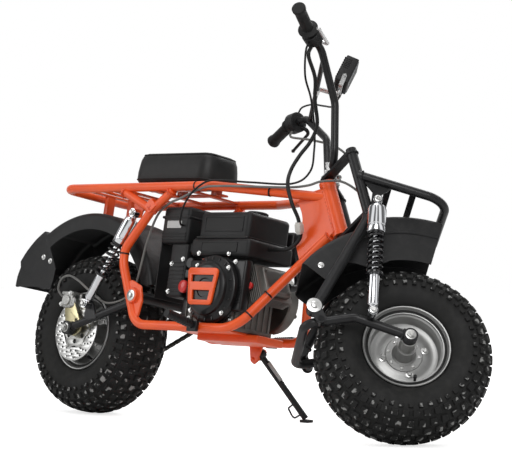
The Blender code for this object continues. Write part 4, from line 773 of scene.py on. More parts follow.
piece("disc_carrier", carrier, machine, "rear_wheel", SPACER_STEEL, "steel")

caliper_z = AXLE_Z + 0.088
CALIPER_ALLOY = finish("caliper_alloy", (0.30, 0.30, 0.29), (0.44, 0.44, 0.425), (0.34, 0.50), 0.85,
                       grain=700.0, depth=0.25, dust=0.1)
CALIPER_PINS = ((-0.022, caliper_z + 0.020, 0.0070), (-0.060, caliper_z - 0.014, 0.0075))
PISTON = (-0.036, caliper_z - 0.002)
caliper_body = [box((0.044, 0.020, 0.050), (-0.038, DISC_Y - 0.015, caliper_z), 0.009),
                box((0.060, 0.013, 0.030), (-0.038, DISC_Y - 0.0145, caliper_z - 0.006), 0.006),
                box((0.056, 0.014, 0.050), (-0.038, DISC_Y + 0.0135, caliper_z), 0.006),
                box((0.052, 0.044, 0.010), (-0.040, DISC_Y - 0.002, caliper_z + 0.0210), 0.004),
                rod(at_y(PISTON, DISC_Y - 0.020), at_y(PISTON, DISC_Y - 0.0315), 0.0165, 0.0025, 40),
                rod(at_y(PISTON, DISC_Y - 0.030), at_y(PISTON, DISC_Y - 0.0325), 0.0100, 0.0015, 32),
                *[rod((x, DISC_Y - 0.026, z), (x, DISC_Y - 0.006, z), radius, 0.0015, 24)
                  for x, z, radius in CALIPER_PINS]]
on_frame("caliper_body", caliper_body, CALIPER_ALLOY, "steel", "brake_caliper")
bracket = np.array([(-0.052, 0.312), (-0.032, 0.236), (-0.016, 0.222), (0.012, 0.220), (0.034, 0.234),
                    (0.040, 0.252), (0.022, 0.276), (-0.008, 0.322)])
on_frame("caliper_bracket", [pierced(bracket, [circle(hub, 0.0081, 24), circle((0.010, 0.268), 0.006, 16)],
                                     DISC_Y - 0.0165, DISC_Y - 0.0125)], GOLD_ZINC, "steel")
caliper_bolts = bolts([(x, DISC_Y - 0.0252, z) for x, z, _ in CALIPER_PINS[::-1]], (0, -1, 0), 0.0050, 0.0070,
                      0.004)
caliper_bolts.append(rod((-0.066, -0.104, 0.342), (-0.0745, -0.1045, 0.342), 0.0052, sides=6))
on_frame("caliper_bolts", caliper_bolts, ZINC, "steel")

# The drive: a roller chain of blackened links from the engine's small sprocket to the wheel's
# large toothed one, with drilled lightening holes.
CHAIN_Y, SPROCKET_R, OUTPUT, OUTPUT_R, CHAIN_PITCH = 0.1005, 0.105, (0.470, 0.390), 0.032, 0.0127
CHAIN_STEEL = finish("chain_steel", (0.055, 0.050, 0.045), (0.13, 0.125, 0.115), (0.34, 0.50), 1.0,
                     grain=900.0, depth=0.2, dust=0.2)


def toothed(centre, pitch_r, teeth, holes=()):
    """A sprocket in the chain's plane: a clipped cosine for each tooth, within the pitch radius."""
    angle = np.linspace(0, 2 * math.pi, teeth * 8, endpoint=False)
    reach = pitch_r - 0.0028 + np.clip(0.0055 * np.cos(teeth * angle), -0.0035, 0.0030)
    outline = np.column_stack((centre[0] + reach * np.cos(angle), centre[1] + reach * np.sin(angle)))
    return pierced(outline, holes, CHAIN_Y - SHEET_HALF, CHAIN_Y + SHEET_HALF)


sprocket_holes = [circle(hub, 0.010, 24), *drilled(hub, 0.066, 6, 0.015, 24)]
sprocket = [toothed(hub, SPROCKET_R, 52, sprocket_holes),
            revolved([(0.010, HUB_HALF + GAP), (0.032, HUB_HALF + GAP), (0.034, CHAIN_Y - SHEET_HALF),
                      (0.010, CHAIN_Y - SHEET_HALF)], (0, 0, AXLE_Z), LEFT, 40, True)]
sprocket += bolts(around((0, 0, AXLE_Z), HUB_BOLT_REACH, 6, CHAIN_Y + SHEET_HALF, 0.5), LEFT, 0.0050, 0.0068,
                  0.0035)
piece("wheel_sprocket", sprocket, machine, "rear_wheel", SPACER_STEEL, "steel", ("rear_sprocket",))

def paced(line, count):
    """Points in equal steps along a line of two columns that closes on itself."""
    line = np.vstack((line, line[:1]))
    reach = walked(line)
    at = np.linspace(0, reach[-1], count, endpoint=False)
    return np.column_stack([np.interp(at, reach, column) for column in line.T])


span = np.array((OUTPUT[0], OUTPUT[1] - AXLE_Z))
slope = math.degrees(math.atan2(span[1], span[0]))
spread = math.degrees(math.acos((SPROCKET_R - OUTPUT_R) / np.linalg.norm(span)))
run = np.vstack((arc(hub, SPROCKET_R, slope + spread, slope + 360 - spread, 60),
                 arc(OUTPUT, OUTPUT_R, slope - spread, slope + spread, 24)))
links = 2 * round(walked(np.vstack((run, run[:1])))[-1] / CHAIN_PITCH / 2)
pins = paced(run, links)
chain_shapes = []
for index, (start, stop) in enumerate(zip(pins, np.roll(pins, -1, axis=0))):
    ahead = (stop - start) / np.linalg.norm(stop - start)
    side = np.array((-ahead[1], ahead[0]))
    ends = [point + 0.0046 * (ahead * math.cos(a) + side * math.sin(a)) for point, first in
            ((stop, -90), (start, 90)) for a in np.radians(np.linspace(first, first + 180, 5))]
    wide = 0.0052 if index % 2 else 0.0040
    chain_shapes += [plate(ends, CHAIN_Y + y - 0.0006, CHAIN_Y + y + 0.0006, 0.0001) for y in (-wide, wide)]
    chain_shapes += [rod(at_y(start, CHAIN_Y - half), at_y(start, CHAIN_Y + half), radius, 0.0003, sides)
                     for half, radius, sides in ((0.0062, 0.0019, 8), (0.0033, 0.0041, 10))]
on_frame("roller_chain", chain_shapes, CHAIN_STEEL, "steel", "drive_chain")

# The swing arm: a cross tube on the pivot bolt, two straight legs and their axle bosses, welded
# and painted satin black, hung in the frame by a plated bolt with broad washers.
ARM_PIVOT_Y = 0.112
arm_parts = [sleeve(0.0075, 0.017, 0, 0.251, at_y(PIVOT, -0.1255), LEFT, 36)]
arm_beads = []
for side in (-1, 1):
    start, end = at_y(PIVOT, side * ARM_PIVOT_Y), np.array((0, side * ARM_AXLE_Y, AXLE_Z))
    arm_parts.append(swept([start, end], 0.0115, 24))
    arm_parts.append(sleeve(0.0078, 0.021, -0.0135, 0.0135, end, LEFT, 36))
    lug = side * (lug_y - 0.003)
    arm_parts.append(plate([(0.068, 0.262), (0.125, 0.275), (0.100, 0.324), (0.094, 0.328), (0.078, 0.328),
                            (0.073, 0.323)], lug - 0.003, lug + 0.003))
    arm_beads += [bead(start + (end - start) * 0.062, end - start, 0.0117),
                  bead(end + (start - end) * 0.070, end - start, 0.0117)]
on_frame("rear_fork_arm", arm_parts + arm_beads, BLACK, "black_paint", "swing_arm")
pivot_parts = [rod(at_y(PIVOT, -SIDE_Y - 0.016), at_y(PIVOT, SIDE_Y + 0.016), 0.0070)]
for side in (-1, 1):
    face = at_y(PIVOT, side * (SIDE_Y + 0.0143))
    pivot_parts += bolt(face, (0, side, 0), 0.0095, 0.0165, 0.0055)
on_frame("pivot_bolt_set", pivot_parts, ZINC, "steel", "pivot_bolt")

# Four shock absorbers: a chromed can above a chromed tube, a black spring coiled between their
# cups, a rubber-bushed eye at each end and a plated bolt through it.
CHROME = finish("chrome", (0.66, 0.67, 0.69), (0.78, 0.79, 0.81), (0.05, 0.12), 1.0, grain=1500.0, depth=0.02)
SPRING_BLACK = finish("spring_enamel", (0.008, 0.008, 0.009), (0.014, 0.014, 0.015), (0.18, 0.28),
                      grain=600.0, depth=0.05, coat=0.4)
SHOCK_TOP, SHOCK_FOOT, SHOCK_Y = (WHEELBASE - 0.184, 0.590), (WHEELBASE - 0.114, 0.258), 0.175


def shock_absorber(name, top, foot, can_r, spring_r, tube_r, can_share, coils, place, body, side, node):
    """Turned parts between two eyes, and a spring whose line is a helix about the same axis."""
    top, foot = np.array(top), np.array(foot)
    axis, length = unit(top - foot), np.linalg.norm(top - foot)
    can_low, seat = length * (1 - can_share), length * 0.34
    body_profile = [(0, 0.010), (0.0090, 0.010), (0.0090, 0.016), (tube_r - 0.002, 0.018), (tube_r, 0.021),
                    (tube_r, seat - 0.002), (tube_r * 0.62, seat), (tube_r * 0.62, can_low + 0.002),
                    (0, can_low + 0.002)]
    can_profile = [(0, can_low), (can_r - 0.001, can_low), (can_r, can_low + 0.0015),
                   (can_r, can_low + 0.016), (can_r - 0.0015, can_low + 0.0175),
                   (can_r - 0.0015, can_low + 0.0205), (can_r, can_low + 0.022), (can_r, length - 0.030),
                   (can_r * 0.93, length - 0.023), (can_r * 0.60, length - 0.017), (0.0085, length - 0.015),
                   (0.0085, length - 0.008), (0, length - 0.008)]
    chrome_parts = [revolved(body_profile, foot, axis, 40), revolved(can_profile, foot, axis, 48)]
    for end in (foot, top):
        chrome_parts.append(sleeve(0.0085, 0.013, -0.0105, 0.0105, end, LEFT, 32, 0.0005))
    piece(name + "_chrome", chrome_parts, place, body, CHROME, "chrome", (node,))
    cups = [revolved([(0, seat - 0.006), (spring_r * 0.96, seat - 0.006), (spring_r, seat - 0.004),
                      (spring_r, seat + 0.001), (tube_r, seat + 0.002), (0, seat + 0.002)], foot, axis, 40),
            revolved([(0, can_low - 0.006), (spring_r * 0.9, can_low - 0.005), (spring_r, can_low - 0.001),
                      (spring_r, can_low), (0, can_low)], foot, axis, 40)]
    turn = np.linspace(0, 2 * math.pi * coils, coils * 26)
    wire_r = 0.0032 if spring_r < 0.0217 else 0.0036
    low, high = seat + 0.003, can_low - 0.007
    rise = low + (high - low) * turn / turn[-1]
    coil_r = spring_r - wire_r
    helix = foot + np.column_stack((coil_r * np.cos(turn), coil_r * np.sin(turn), rise)) @ basis(axis).T
    piece(name + "_spring", [swept(helix, wire_r, 10), *cups], place, body, SPRING_BLACK, "black_paint")
    bushes, nuts = [], []
    for end in (foot, top):
        bushes.append(revolved([(0.0045, -0.012), (0.0084, -0.012), (0.0084, 0.012), (0.0045, 0.012)], end,
                               LEFT, 24, True))
        nuts += bolt(end + (0, side * 0.0121, 0), (0, side, 0), 0.0068, 0.0100, 0.005)
        nuts.append(rod(end - (0, 0.0135, 0), end + (0, 0.0135, 0), 0.0044))
    piece(name + "_bushes", bushes, place, body, BLACK, "rubber")
    piece(name + "_bolts", nuts, place, body, ZINC, "steel")


REAR_SHOCK_FOOT, REAR_SHOCK_Y = (0.086, 0.315), SIDE_Y + 0.004
for side, label in ((-1, "right"), (1, "left")):
    shock_absorber("rear_damper_" + label, at_y(REAR_SHOCK_TOP, side * REAR_SHOCK_Y),
                   at_y(REAR_SHOCK_FOOT, side * REAR_SHOCK_Y), 0.0195, 0.0212, 0.013, 0.32, 6, machine,
                   "chassis", side, "rear_shock_" + label)
    shock_absorber("front_damper_" + label, at_y(SHOCK_TOP, side * SHOCK_Y), at_y(SHOCK_FOOT, side * SHOCK_Y),
                   0.0255, 0.0225, 0.0145, 0.30, 7, steered, "steering", side, "front_shock_" + label)

# The mudguards: one moulding each of grained black plastic, a wide channel with rounded
# shoulders. The rear one ends in a raised lip and a deep flap; the front one steps down.
GUARD = finish("grained_plastic", (0.0065, 0.0065, 0.007), (0.012, 0.012, 0.0125), (0.42, 0.56),
               grain=700.0, depth=0.30, dust=0.05)
GUARD_HALF_W, GUARD_WALL, SHOULDER = 0.102, 0.003, 0.014


def mudguard(centre, crown_r, stations):
    """A closed section swept round the axle: flat crown, quarter-round shoulders and skirts. Each
    station is its angle, how far the crown stands out from its radius, and the skirt's depth."""
    angle, raised, skirt = np.array(stations, float).T
    steps = np.unique(np.concatenate((angle, np.arange(math.ceil(angle[0]), angle[-1], 1.5))))
    radius, skirt = crown_r + np.interp(steps, angle, raised), np.interp(steps, angle, skirt)
    quarter = np.radians(np.linspace(0, 90, 6))
    columns, drops = [], []
    for offset, order in ((0.0, 1), (GUARD_WALL, -1)):
        y = np.append(GUARD_HALF_W - offset, GUARD_HALF_W - SHOULDER + (SHOULDER - offset) * np.cos(quarter))
        drop = np.tile((SHOULDER - offset) * np.sin(quarter) - SHOULDER, (len(steps), 1))
        drop = np.column_stack((-np.maximum(skirt, SHOULDER + 0.001), drop))
        columns.append(np.append(y, -y[::-1])[::order])
        drops.append(np.hstack((drop, drop[:, ::-1]))[:, ::order])
    reach, turn = radius[:, None] + np.hstack(drops), np.radians(steps)[:, None]
    ys = np.broadcast_to(np.concatenate(columns), reach.shape)
    grid = np.stack((centre[0] + reach * np.cos(turn), ys, centre[1] + reach * np.sin(turn)), axis=-1)
    return lattice(grid, False, True, True)


FRONT_GUARD_R = 0.361
rear_stations = ((25, -0.019, 0.016), (28, -0.017, 0.040), (42, -0.006, 0.050), (53, 0, 0.052),
                 (123, 0, 0.052), (125.5, 0.004, 0.058), (126.5, 0.018, 0.150), (133, 0.022, 0.178),
                 (141, 0.024, 0.196), (147, 0.024, 0.165), (149, 0.010, 0.128), (154, 0.004, 0.075),
                 (158.5, -0.006, 0.016))
on_frame("rear_mudguard", [mudguard(hub, REAR_GUARD_R, rear_stations)], GUARD, "black_plastic", "rear_fender",
         bevel=0.0008)



def guard_bolts(spots):
    """Bolts through both skirts at each (x, z) spot."""
    face = GUARD_HALF_W - 0.0002
    return [shape for spot in spots for side in (-1, 1)
            for shape in bolt(at_y(spot, side * face), (0, side, 0), 0.0056, 0.0088, 0.004)]


on_frame("rear_guard_bolts", guard_bolts(((-0.170, 0.452), (-0.205, 0.464))), ZINC, "steel")
front_stations = ((89, 0.024, 0.140), (116, 0.024, 0.140), (118.5, 0, 0.120), (131, 0, 0.120),
                  (140, 0, 0.080), (157, 0, 0.080))
STEER_FORE = np.array((STEER_UP[2], 0, -STEER_UP[0]))


def on_axis(up, fore, y=0.0):
    """A point up the steering axis, ahead of it and to the left."""
    point = STEER_FOOT + STEER_UP * up + STEER_FORE * fore
    return np.array((point[0], y, point[2]))


on_fork("front_mudguard", [mudguard((WHEELBASE, AXLE_Z), FRONT_GUARD_R, front_stations),
                           rod(on_axis(0.305, 0), on_axis(HEAD_LOW - 0.0153, 0), 0.012)], GUARD,
        "black_plastic", "front_fender", bevel=0.0008)
ridge = arc((WHEELBASE, AXLE_Z), FRONT_GUARD_R - 0.031, 89.5, 131, 30)
front_trim = [swept([at_y(spot, side * (GUARD_HALF_W - 0.001)) for spot in ridge], 0.0042, 10)
              for side in (-1, 1)]
on_fork("front_guard_ridges", front_trim, GUARD, "black_plastic")
front_spot = (WHEELBASE + 0.318 * math.cos(2.66), AXLE_Z + 0.318 * math.sin(2.66))
on_fork("front_guard_bolts", guard_bolts([front_spot]), ZINC, "steel")

# The seat: foam on a steel base under stitched black vinyl, wider at its foot, with a rounded
# and slightly dished top, a piped edge and a stapled hem.
VINYL = finish("black_vinyl", (0.008, 0.008, 0.008), (0.014, 0.014, 0.014), (0.42, 0.54),
               grain=420.0, depth=0.55, dust=0.04)
SEAT_Z, SEAT_FRONT_X, SEAT_REAR_X = RAIL_Z + 0.031, 0.462, 0.148
seat_corners = np.vstack((arc((SEAT_FRONT_X - 0.050, 0.028), 0.050, 90, 0, 12),
                          arc((SEAT_FRONT_X - 0.050, -0.028), 0.050, 0, -90, 12),
                          arc((SEAT_REAR_X + 0.035, -0.053), 0.035, 270, 180, 10),
                          arc((SEAT_REAR_X + 0.035, 0.053), 0.035, 180, 90, 10)))


def seat_ring(up, by, count=96):
    """The seat's plan at a height, inset by the distance and walked round in equal steps."""
    return np.column_stack((paced(inset(seat_corners[::-1], by), count), np.full(count, SEAT_Z + up)))


side_levels = ((0.000, 0.006), (0.003, 0.002), (0.010, 0.000), (0.030, 0.000), (0.050, 0.002), (0.068, 0.005),
               (0.080, 0.010), (0.087, 0.016), (0.0905, 0.024), (0.0915, 0.034))
rings = [seat_ring(up, by) for up, by in side_levels]
middle = rings[-1].mean(axis=0)
for share in (0.72, 0.48, 0.24, 0.02):
    ring = middle + (rings[len(side_levels) - 1] - middle) * share
    along = (ring[:, 0] - middle[0]) / 0.15
    ring[:, 2] = middle[2] - 0.0035 * (1 - share) * (1 - along ** 2) + 0.004 * np.clip(along, 0, 1)
    rings.append(ring)
cushion = on_frame("seat_cushion", [lattice(np.stack(rings), False, True, True)], VINYL, "vinyl", "seat",
                   sharp=80)
piping = [swept(seat_ring(up, by), 0.0016, 8, True) for up, by in ((0.0845, 0.0125), (0.008, -0.0002))]
on_frame("seat_piping", piping, VINYL, "vinyl")

# The fork: a stem through the head tube, two crowns of flat bar on each side, and two bent tube
# posts down to the pivots of the leading link. All but the nuts is welded and painted satin black.
FORK_Y, FORK_R, POST_FORE, LINK_R = 0.135, 0.0150, 0.056, 0.0125
LINK_PIVOT = (WHEELBASE - 0.267, 0.236)
CROWN_T, CLAMP_Y, CLAMP_FORE, NUT_FORE = 0.010, 0.021, 0.020, 0.033


def strap(first, first_r, second, second_r, steps=14):
    """The outline of a flat bar with round ends: an arc about each centre, joined by tangents."""
    gap = np.array(second) - np.array(first)
    slope = math.degrees(math.atan2(gap[1], gap[0]))
    spread = math.degrees(math.acos((first_r - second_r) / np.linalg.norm(gap)))
    return np.vstack((arc(second, second_r, slope - spread, slope + spread, steps),
                      arc(first, first_r, slope + spread, slope + 360 - spread, steps)))


def on_crown(shape):
    """A plate of (fore, up, left) points, set on the steering axis."""
    points, faces = shape
    return STEER_FOOT + points @ np.stack((STEER_FORE, STEER_UP, LEFT)), faces


fork_parts = [rod(on_axis(HEAD_LOW - 0.010, 0), on_axis(HEAD_HIGH + 0.011, 0), 0.0125),
              rod(on_axis(HEAD_HIGH + 0.004, 0), on_axis(HEAD_HIGH + 0.018, 0), 0.014, 0.002, 24)]
fork_beads = []
for side in (-1, 1):
    y = side * FORK_Y
    leg = bent([on_axis(HEAD_HIGH + 0.021, POST_FORE, y), on_axis(0.330, POST_FORE, y),
                (LINK_PIVOT[0] + 0.004, y, LINK_PIVOT[1] + 0.012)], 0.07, 14)
    boss = [at_y(LINK_PIVOT, side * out) for out in (FORK_Y - 0.014, FORK_Y + 0.018)]
    fork_parts += [swept(leg, FORK_R, 24), rod(*boss, 0.018, 0.002, 32)]
    fork_beads.append(bead((LINK_PIVOT[0] + 0.006, y, LINK_PIVOT[1] + 0.019), (0.25, 0, 1), FORK_R))
    for up in (HEAD_LOW - 0.005 - CROWN_T / 2, HEAD_HIGH + 0.006 + CROWN_T / 2):
        fork_parts.append(on_crown(plate(strap((0, 0), 0.0165, (POST_FORE, y), 0.0158),
                                         up - CROWN_T / 2, up + CROWN_T / 2)))
        fork_beads.append(bead(on_axis(up - CROWN_T / 2, POST_FORE, y), STEER_UP, FORK_R + 0.001))
crown_nuts = [rod(on_axis(HEAD_HIGH + 0.0162, 0), on_axis(HEAD_HIGH + 0.024, 0), 0.0125, 0.0015, 6)]
for y in (-CLAMP_Y, CLAMP_Y):
    nut_top = on_axis(HEAD_HIGH + 0.0055, NUT_FORE, y)
    crown_nuts += [rod(on_axis(HEAD_HIGH - 0.0025, NUT_FORE, y), nut_top, 0.0072, 0.0012, 6),
                   rod(on_axis(HEAD_HIGH - 0.0075, NUT_FORE, y), nut_top, 0.0036)]
on_fork("crown_nuts", crown_nuts, ZINC, "steel")
on_fork("fork_posts", fork_parts + fork_beads, BLACK, "black_paint", "fork")

# The leading link: one tube bent round behind the tyre, with the axle's bosses at its front ends,
# hung from the posts by welded lugs and round bushes.
BOSS_HALF, LUG_IN = 0.0135, FORK_Y + 0.018 + GAP
LINK_BACK_X, LINK_LOW_Z = WHEELBASE - AXLE_Z - 0.0355, 0.190
link_line = [(WHEELBASE, LINK_Y, AXLE_Z), (WHEELBASE - 0.155, LINK_Y, 0.250),
             (LINK_BACK_X, LINK_Y, LINK_LOW_Z)]
link_line += [(x, -y, z) for x, y, z in reversed(link_line)]
link_parts = [swept(bent(link_line, 0.030, 10), LINK_R, 22)]
link_bolts = []
for side in (-1, 1):
    y, lug = side * LINK_Y, side * (LUG_IN + 0.003)
    shock_lug = (LINK_BACK_X + 0.038, LINK_LOW_Z + 0.014)
    link_parts += [sleeve(0.0078, 0.020, -BOSS_HALF, BOSS_HALF, (WHEELBASE, y, AXLE_Z), LEFT),
                   bead((WHEELBASE - 0.0195, y, AXLE_Z + 0.001), (1, 0, -0.055), LINK_R + 0.0006),
                   plate(strap(LINK_PIVOT, 0.0165, (LINK_BACK_X + 0.036, LINK_LOW_Z + 0.016), 0.015),
                         lug - 0.003, lug + 0.003),
                   rod(at_y(shock_lug, y), at_y(shock_lug, lug + side * 0.003), 0.010),
                   rod(at_y(SHOCK_FOOT, y), at_y(SHOCK_FOOT, side * (SHOCK_Y - 0.0123)), 0.009),
                   rod(at_y(SHOCK_FOOT, y) - (0, 0, 0.018), at_y(SHOCK_FOOT, y) + (0, 0, 0.010), 0.010)]
    link_bolts += bolt(at_y(LINK_PIVOT, side * (LUG_IN + 0.0063)), (0, side, 0), 0.0105, 0.0205, 0.0062)
    link_bolts.append(rod(at_y(LINK_PIVOT, side * (FORK_Y - 0.012)),
                          at_y(LINK_PIVOT, side * (LUG_IN + 0.007)), 0.007))
on_fork("link_tube", link_parts, BLACK, "black_paint", "leading_link")
on_fork("link_bolts", link_bolts, ZINC, "steel")

# The front rack: a hoop of tube on the posts with two flat bars across, its ears carrying the
# upper eyes of the shock absorbers.
RACK_Z, RACK_Y, RACK_NOSE_X = 0.663, FORK_Y + 0.015, WHEELBASE + 0.001
rack_start = on_axis(0.462, POST_FORE)[0]
hoop = bent([(rack_start, RACK_Y - 0.004, RACK_Z + 0.006), (RACK_NOSE_X, RACK_Y, RACK_Z),
             (RACK_NOSE_X, -RACK_Y, RACK_Z), (rack_start, -RACK_Y + 0.004, RACK_Z + 0.006)], 0.055, 12)
rack_parts = [swept(hoop, LINK_R, 22)]
for x in (RACK_NOSE_X - 0.166, RACK_NOSE_X - 0.096):
    rack_parts.append(box((0.018, 2 * RACK_Y, 0.008), (x, 0, RACK_Z), 0.0015))
eye_x, eye_z = SHOCK_TOP
ear = [(rack_start + 0.010, RACK_Z), (eye_x + 0.026, RACK_Z), (eye_x + 0.020, eye_z + 0.056),
       (eye_x + 0.006, eye_z + 0.040), (eye_x + 0.014, eye_z + 0.006), (eye_x + 0.008, eye_z - 0.010),
       (eye_x - 0.014, eye_z - 0.009), (eye_x - 0.020, eye_z + 0.040)]
for side in (-1, 1):
    ear_y = side * (FORK_Y + 0.007)
    rack_parts += [plate(ear, ear_y - 0.003, ear_y + 0.003, 0.0008),
                   rod((eye_x, ear_y, eye_z), (eye_x, side * (SHOCK_Y - 0.0123), eye_z), 0.009),
                   bead((rack_start + 0.012, side * (RACK_Y - 0.004), RACK_Z + 0.006), (1, 0, 0.05),
                        LINK_R + 0.0004)]
on_fork("front_carrier", rack_parts, BLACK, "black_paint", "front_rack")

# The handlebar: one bent tube with a cross brace, held on the upper crown by silver clamps,
# with ribbed rubber grips.
BAR_R, GRIP_END_Y, BRACE = 0.0111, 0.358, (0.772, 0.991)
crown_top = HEAD_HIGH + 0.006 + CROWN_T
clamp_at = on_axis(crown_top + BAR_R + 0.006, CLAMP_FORE)
bar_half = [(clamp_at[0], 0.0, clamp_at[2]), (clamp_at[0], 0.072, clamp_at[2]), (0.838, 0.098, 0.905),
            (0.760, 0.185, 1.008), (0.715, 0.250, 1.012), (0.675, GRIP_END_Y - 0.004, 1.004)]
bar_line = [(x, -y, z) for x, y, z in reversed(bar_half[1:])] + bar_half[1:]
on_fork("bar_tube", [swept(bent(bar_line, 0.045, 9), BAR_R, 22),
                     swept([at_y(BRACE, -0.165), at_y(BRACE, 0.165)], 0.007, 18)], BLACK, "black_paint",
        "handlebar")
SILVER = finish("bright_alloy", (0.50, 0.50, 0.50), (0.66, 0.66, 0.66), (0.24, 0.36), 0.95,
                grain=900.0, depth=0.12)
RAKE_TURN = np.column_stack((STEER_FORE, LEFT, STEER_UP))
clamp_h = 2 * BAR_R + 0.012
clamp_parts = [box((0.034, 0.070, 0.004), on_axis(crown_top + 0.0023, CLAMP_FORE), 0.0012, RAKE_TURN)]
for y in (-CLAMP_Y, CLAMP_Y):
    middle = on_axis(crown_top + GAP + clamp_h / 2, CLAMP_FORE, y)
    clamp_parts.append(box((0.032, 0.020, clamp_h), middle, 0.0045, RAKE_TURN))
    for fore in (CLAMP_FORE - 0.011, CLAMP_FORE + 0.011):
        clamp_parts.append(rod(on_axis(crown_top + clamp_h - 0.002, fore, y),
                               on_axis(crown_top + clamp_h + 0.0035, fore, y), 0.0042, 0.0006, 18))
on_fork("bar_clamps", clamp_parts, SILVER, "chrome", "bar_clamp")

GRIP_RUBBER = finish("grip_rubber", (0.006, 0.006, 0.006), (0.011, 0.011, 0.011), (0.55, 0.70),
                     grain=1200.0, depth=0.3, dust=0.03)
for side, label in ((-1, "right"), (1, "left")):
    brace, inner, outer = (np.array((x, side * y, z)) for x, y, z in bar_half[-3:])
    along, length = unit(outer - inner), np.linalg.norm(outer - inner)
    ribs = [(0.0165 + 0.0006 * (step % 2), 0.022 + step * 0.0022) for step in range(32)]
    flange = 0.0290 if side < 0 else 0.0225
    grip = [(0.0114, 0.0085), (flange - 0.001, 0.0085), (flange, 0.0100), (flange, 0.0130), (0.0170, 0.0180),
            *ribs, (0.0172, length - 0.012), (0.0195, length - 0.007), (0.0200, length + 0.001),
            (0.0185, length + 0.0035), (0.0120, length + 0.0040), (0.0, length + 0.0032)]
    on_fork("grip_" + label + "_rubber", [revolved(grip, inner, along, 40)], GRIP_RUBBER, "rubber",
            "grip_" + label)
    back = unit(brace - inner)
    case_r = 0.0275 if side < 0 else 0.0310
    case = [(0.0113, 0.004), (case_r - 0.002, 0.004), (case_r, 0.006), (case_r, 0.018),
            (case_r - 0.0006, 0.0185), (case_r - 0.0006, 0.0195), (case_r, 0.020), (case_r, 0.034),
            (case_r - 0.002, 0.036), (0.0113, 0.036)]
    control = [revolved(case, inner + back * 0.044, -back, 40, True),
               box((0.040, 0.018, 0.024), inner + back * 0.022 + (0.012, 0, -0.003), 0.005)]
    control.append(box((0.013, 0.022, 0.009), inner + back * 0.026 + (-0.004, 0, 0.0235), 0.003))
    for step in (-1, 1):
        control.append(rod(inner + back * 0.026 + (-0.020, step * 0.006, 0.006),
                           inner + back * 0.026 + (-0.0275, step * 0.006, 0.007), 0.0038))
    on_fork("control_" + label + "_case", control, GUARD, "black_plastic", "control_" + label)
    mount = inner + back * 0.020 + (0.030, 0, -0.004)
    tip = inner + along * 0.085 + (0.058, 0, -0.030)
    lever = bent([mount - (0.008, 0, 0), mount + (0.022, 0, -0.010), tip], 0.012, 9)
    ball = revolved([(0, -0.0062), (0.0040, -0.0048), (0.0062, 0), (0.0040, 0.0048), (0, 0.0062)], tip,
                    tip - lever[-2], 20)
    on_fork("lever_" + label, [swept(lever, np.linspace(0.0064, 0.0046, len(lever)), 16), ball],
            SILVER if side < 0 else BLACK, "steel")

# The lamp: a slim finned body with a clear lens ahead, on a silver bracket from the brace.
lamp_turn = np.array(Matrix.Rotation(math.radians(8), 3, "Y"))
LAMP = np.array((0.840, 0.0, 1.074))
LAMP_D, LAMP_W, LAMP_H = 0.044, 0.066, 0.092


def lamp_box(size, x, y, z, edge):
    """A block on the tilted lamp, at a place from its middle."""
    return box(size, LAMP + lamp_turn @ (x, y, z), edge, lamp_turn)


lamp_parts = [lamp_box((LAMP_D - 0.006, LAMP_W, LAMP_H), 0, 0, 0, 0.004)]
lamp_parts += [lamp_box((0.004, LAMP_W - 0.004, 0.0032), -0.0205, 0, -0.036 + 0.009 * step, 0.001)
               for step in range(9)]
lamp_parts += [lamp_box((0.018, 0.0016, 0.0022), -0.008, side * 0.0335, 0.002 + 0.006 * step, 0.0007)
               for side in (-1, 1) for step in range(6)]
on_fork("lamp_body", lamp_parts, GUARD, "black_plastic", "headlight")
lens_glass = finish("lamp_lens", (0.16, 0.17, 0.18), (0.24, 0.25, 0.26), (0.05, 0.12), 0.5, grain=160.0,
                    depth=0.6, coat=1.0)
lens = lamp_box((0.003, LAMP_W - 0.010, LAMP_H - 0.012), LAMP_D / 2 - 0.0025, 0, 0, 0.0012)
on_fork("lamp_lens", [lens], lens_glass, "chrome")
lamp_arm = [box((0.075, 0.020, 0.004), (0.7985, 0, 1.0000), 0.001),
            box((0.004, 0.020, 0.044), (0.8350, 0, 1.0200), 0.001),
            rod(at_y(BRACE, -0.013), at_y(BRACE, 0.013), 0.0098, 0.001)]
for side in (-1, 1):
    lamp_arm.append(plate(strap((0.836, 1.016), 0.0065, (0.838, 1.046), 0.0065), side * 0.0350 - 0.001,
                          side * 0.0350 + 0.001, 0.0004))
    lamp_arm += bolt((0.838, side * 0.0358, 1.046), (0, side, 0), 0.0042, 0.0062, 0.003)
lamp_arm.append(box((0.012, 0.072, 0.003), (0.8355, 0, 1.0125), 0.001))
on_fork("lamp_bracket", lamp_arm, SILVER, "steel")

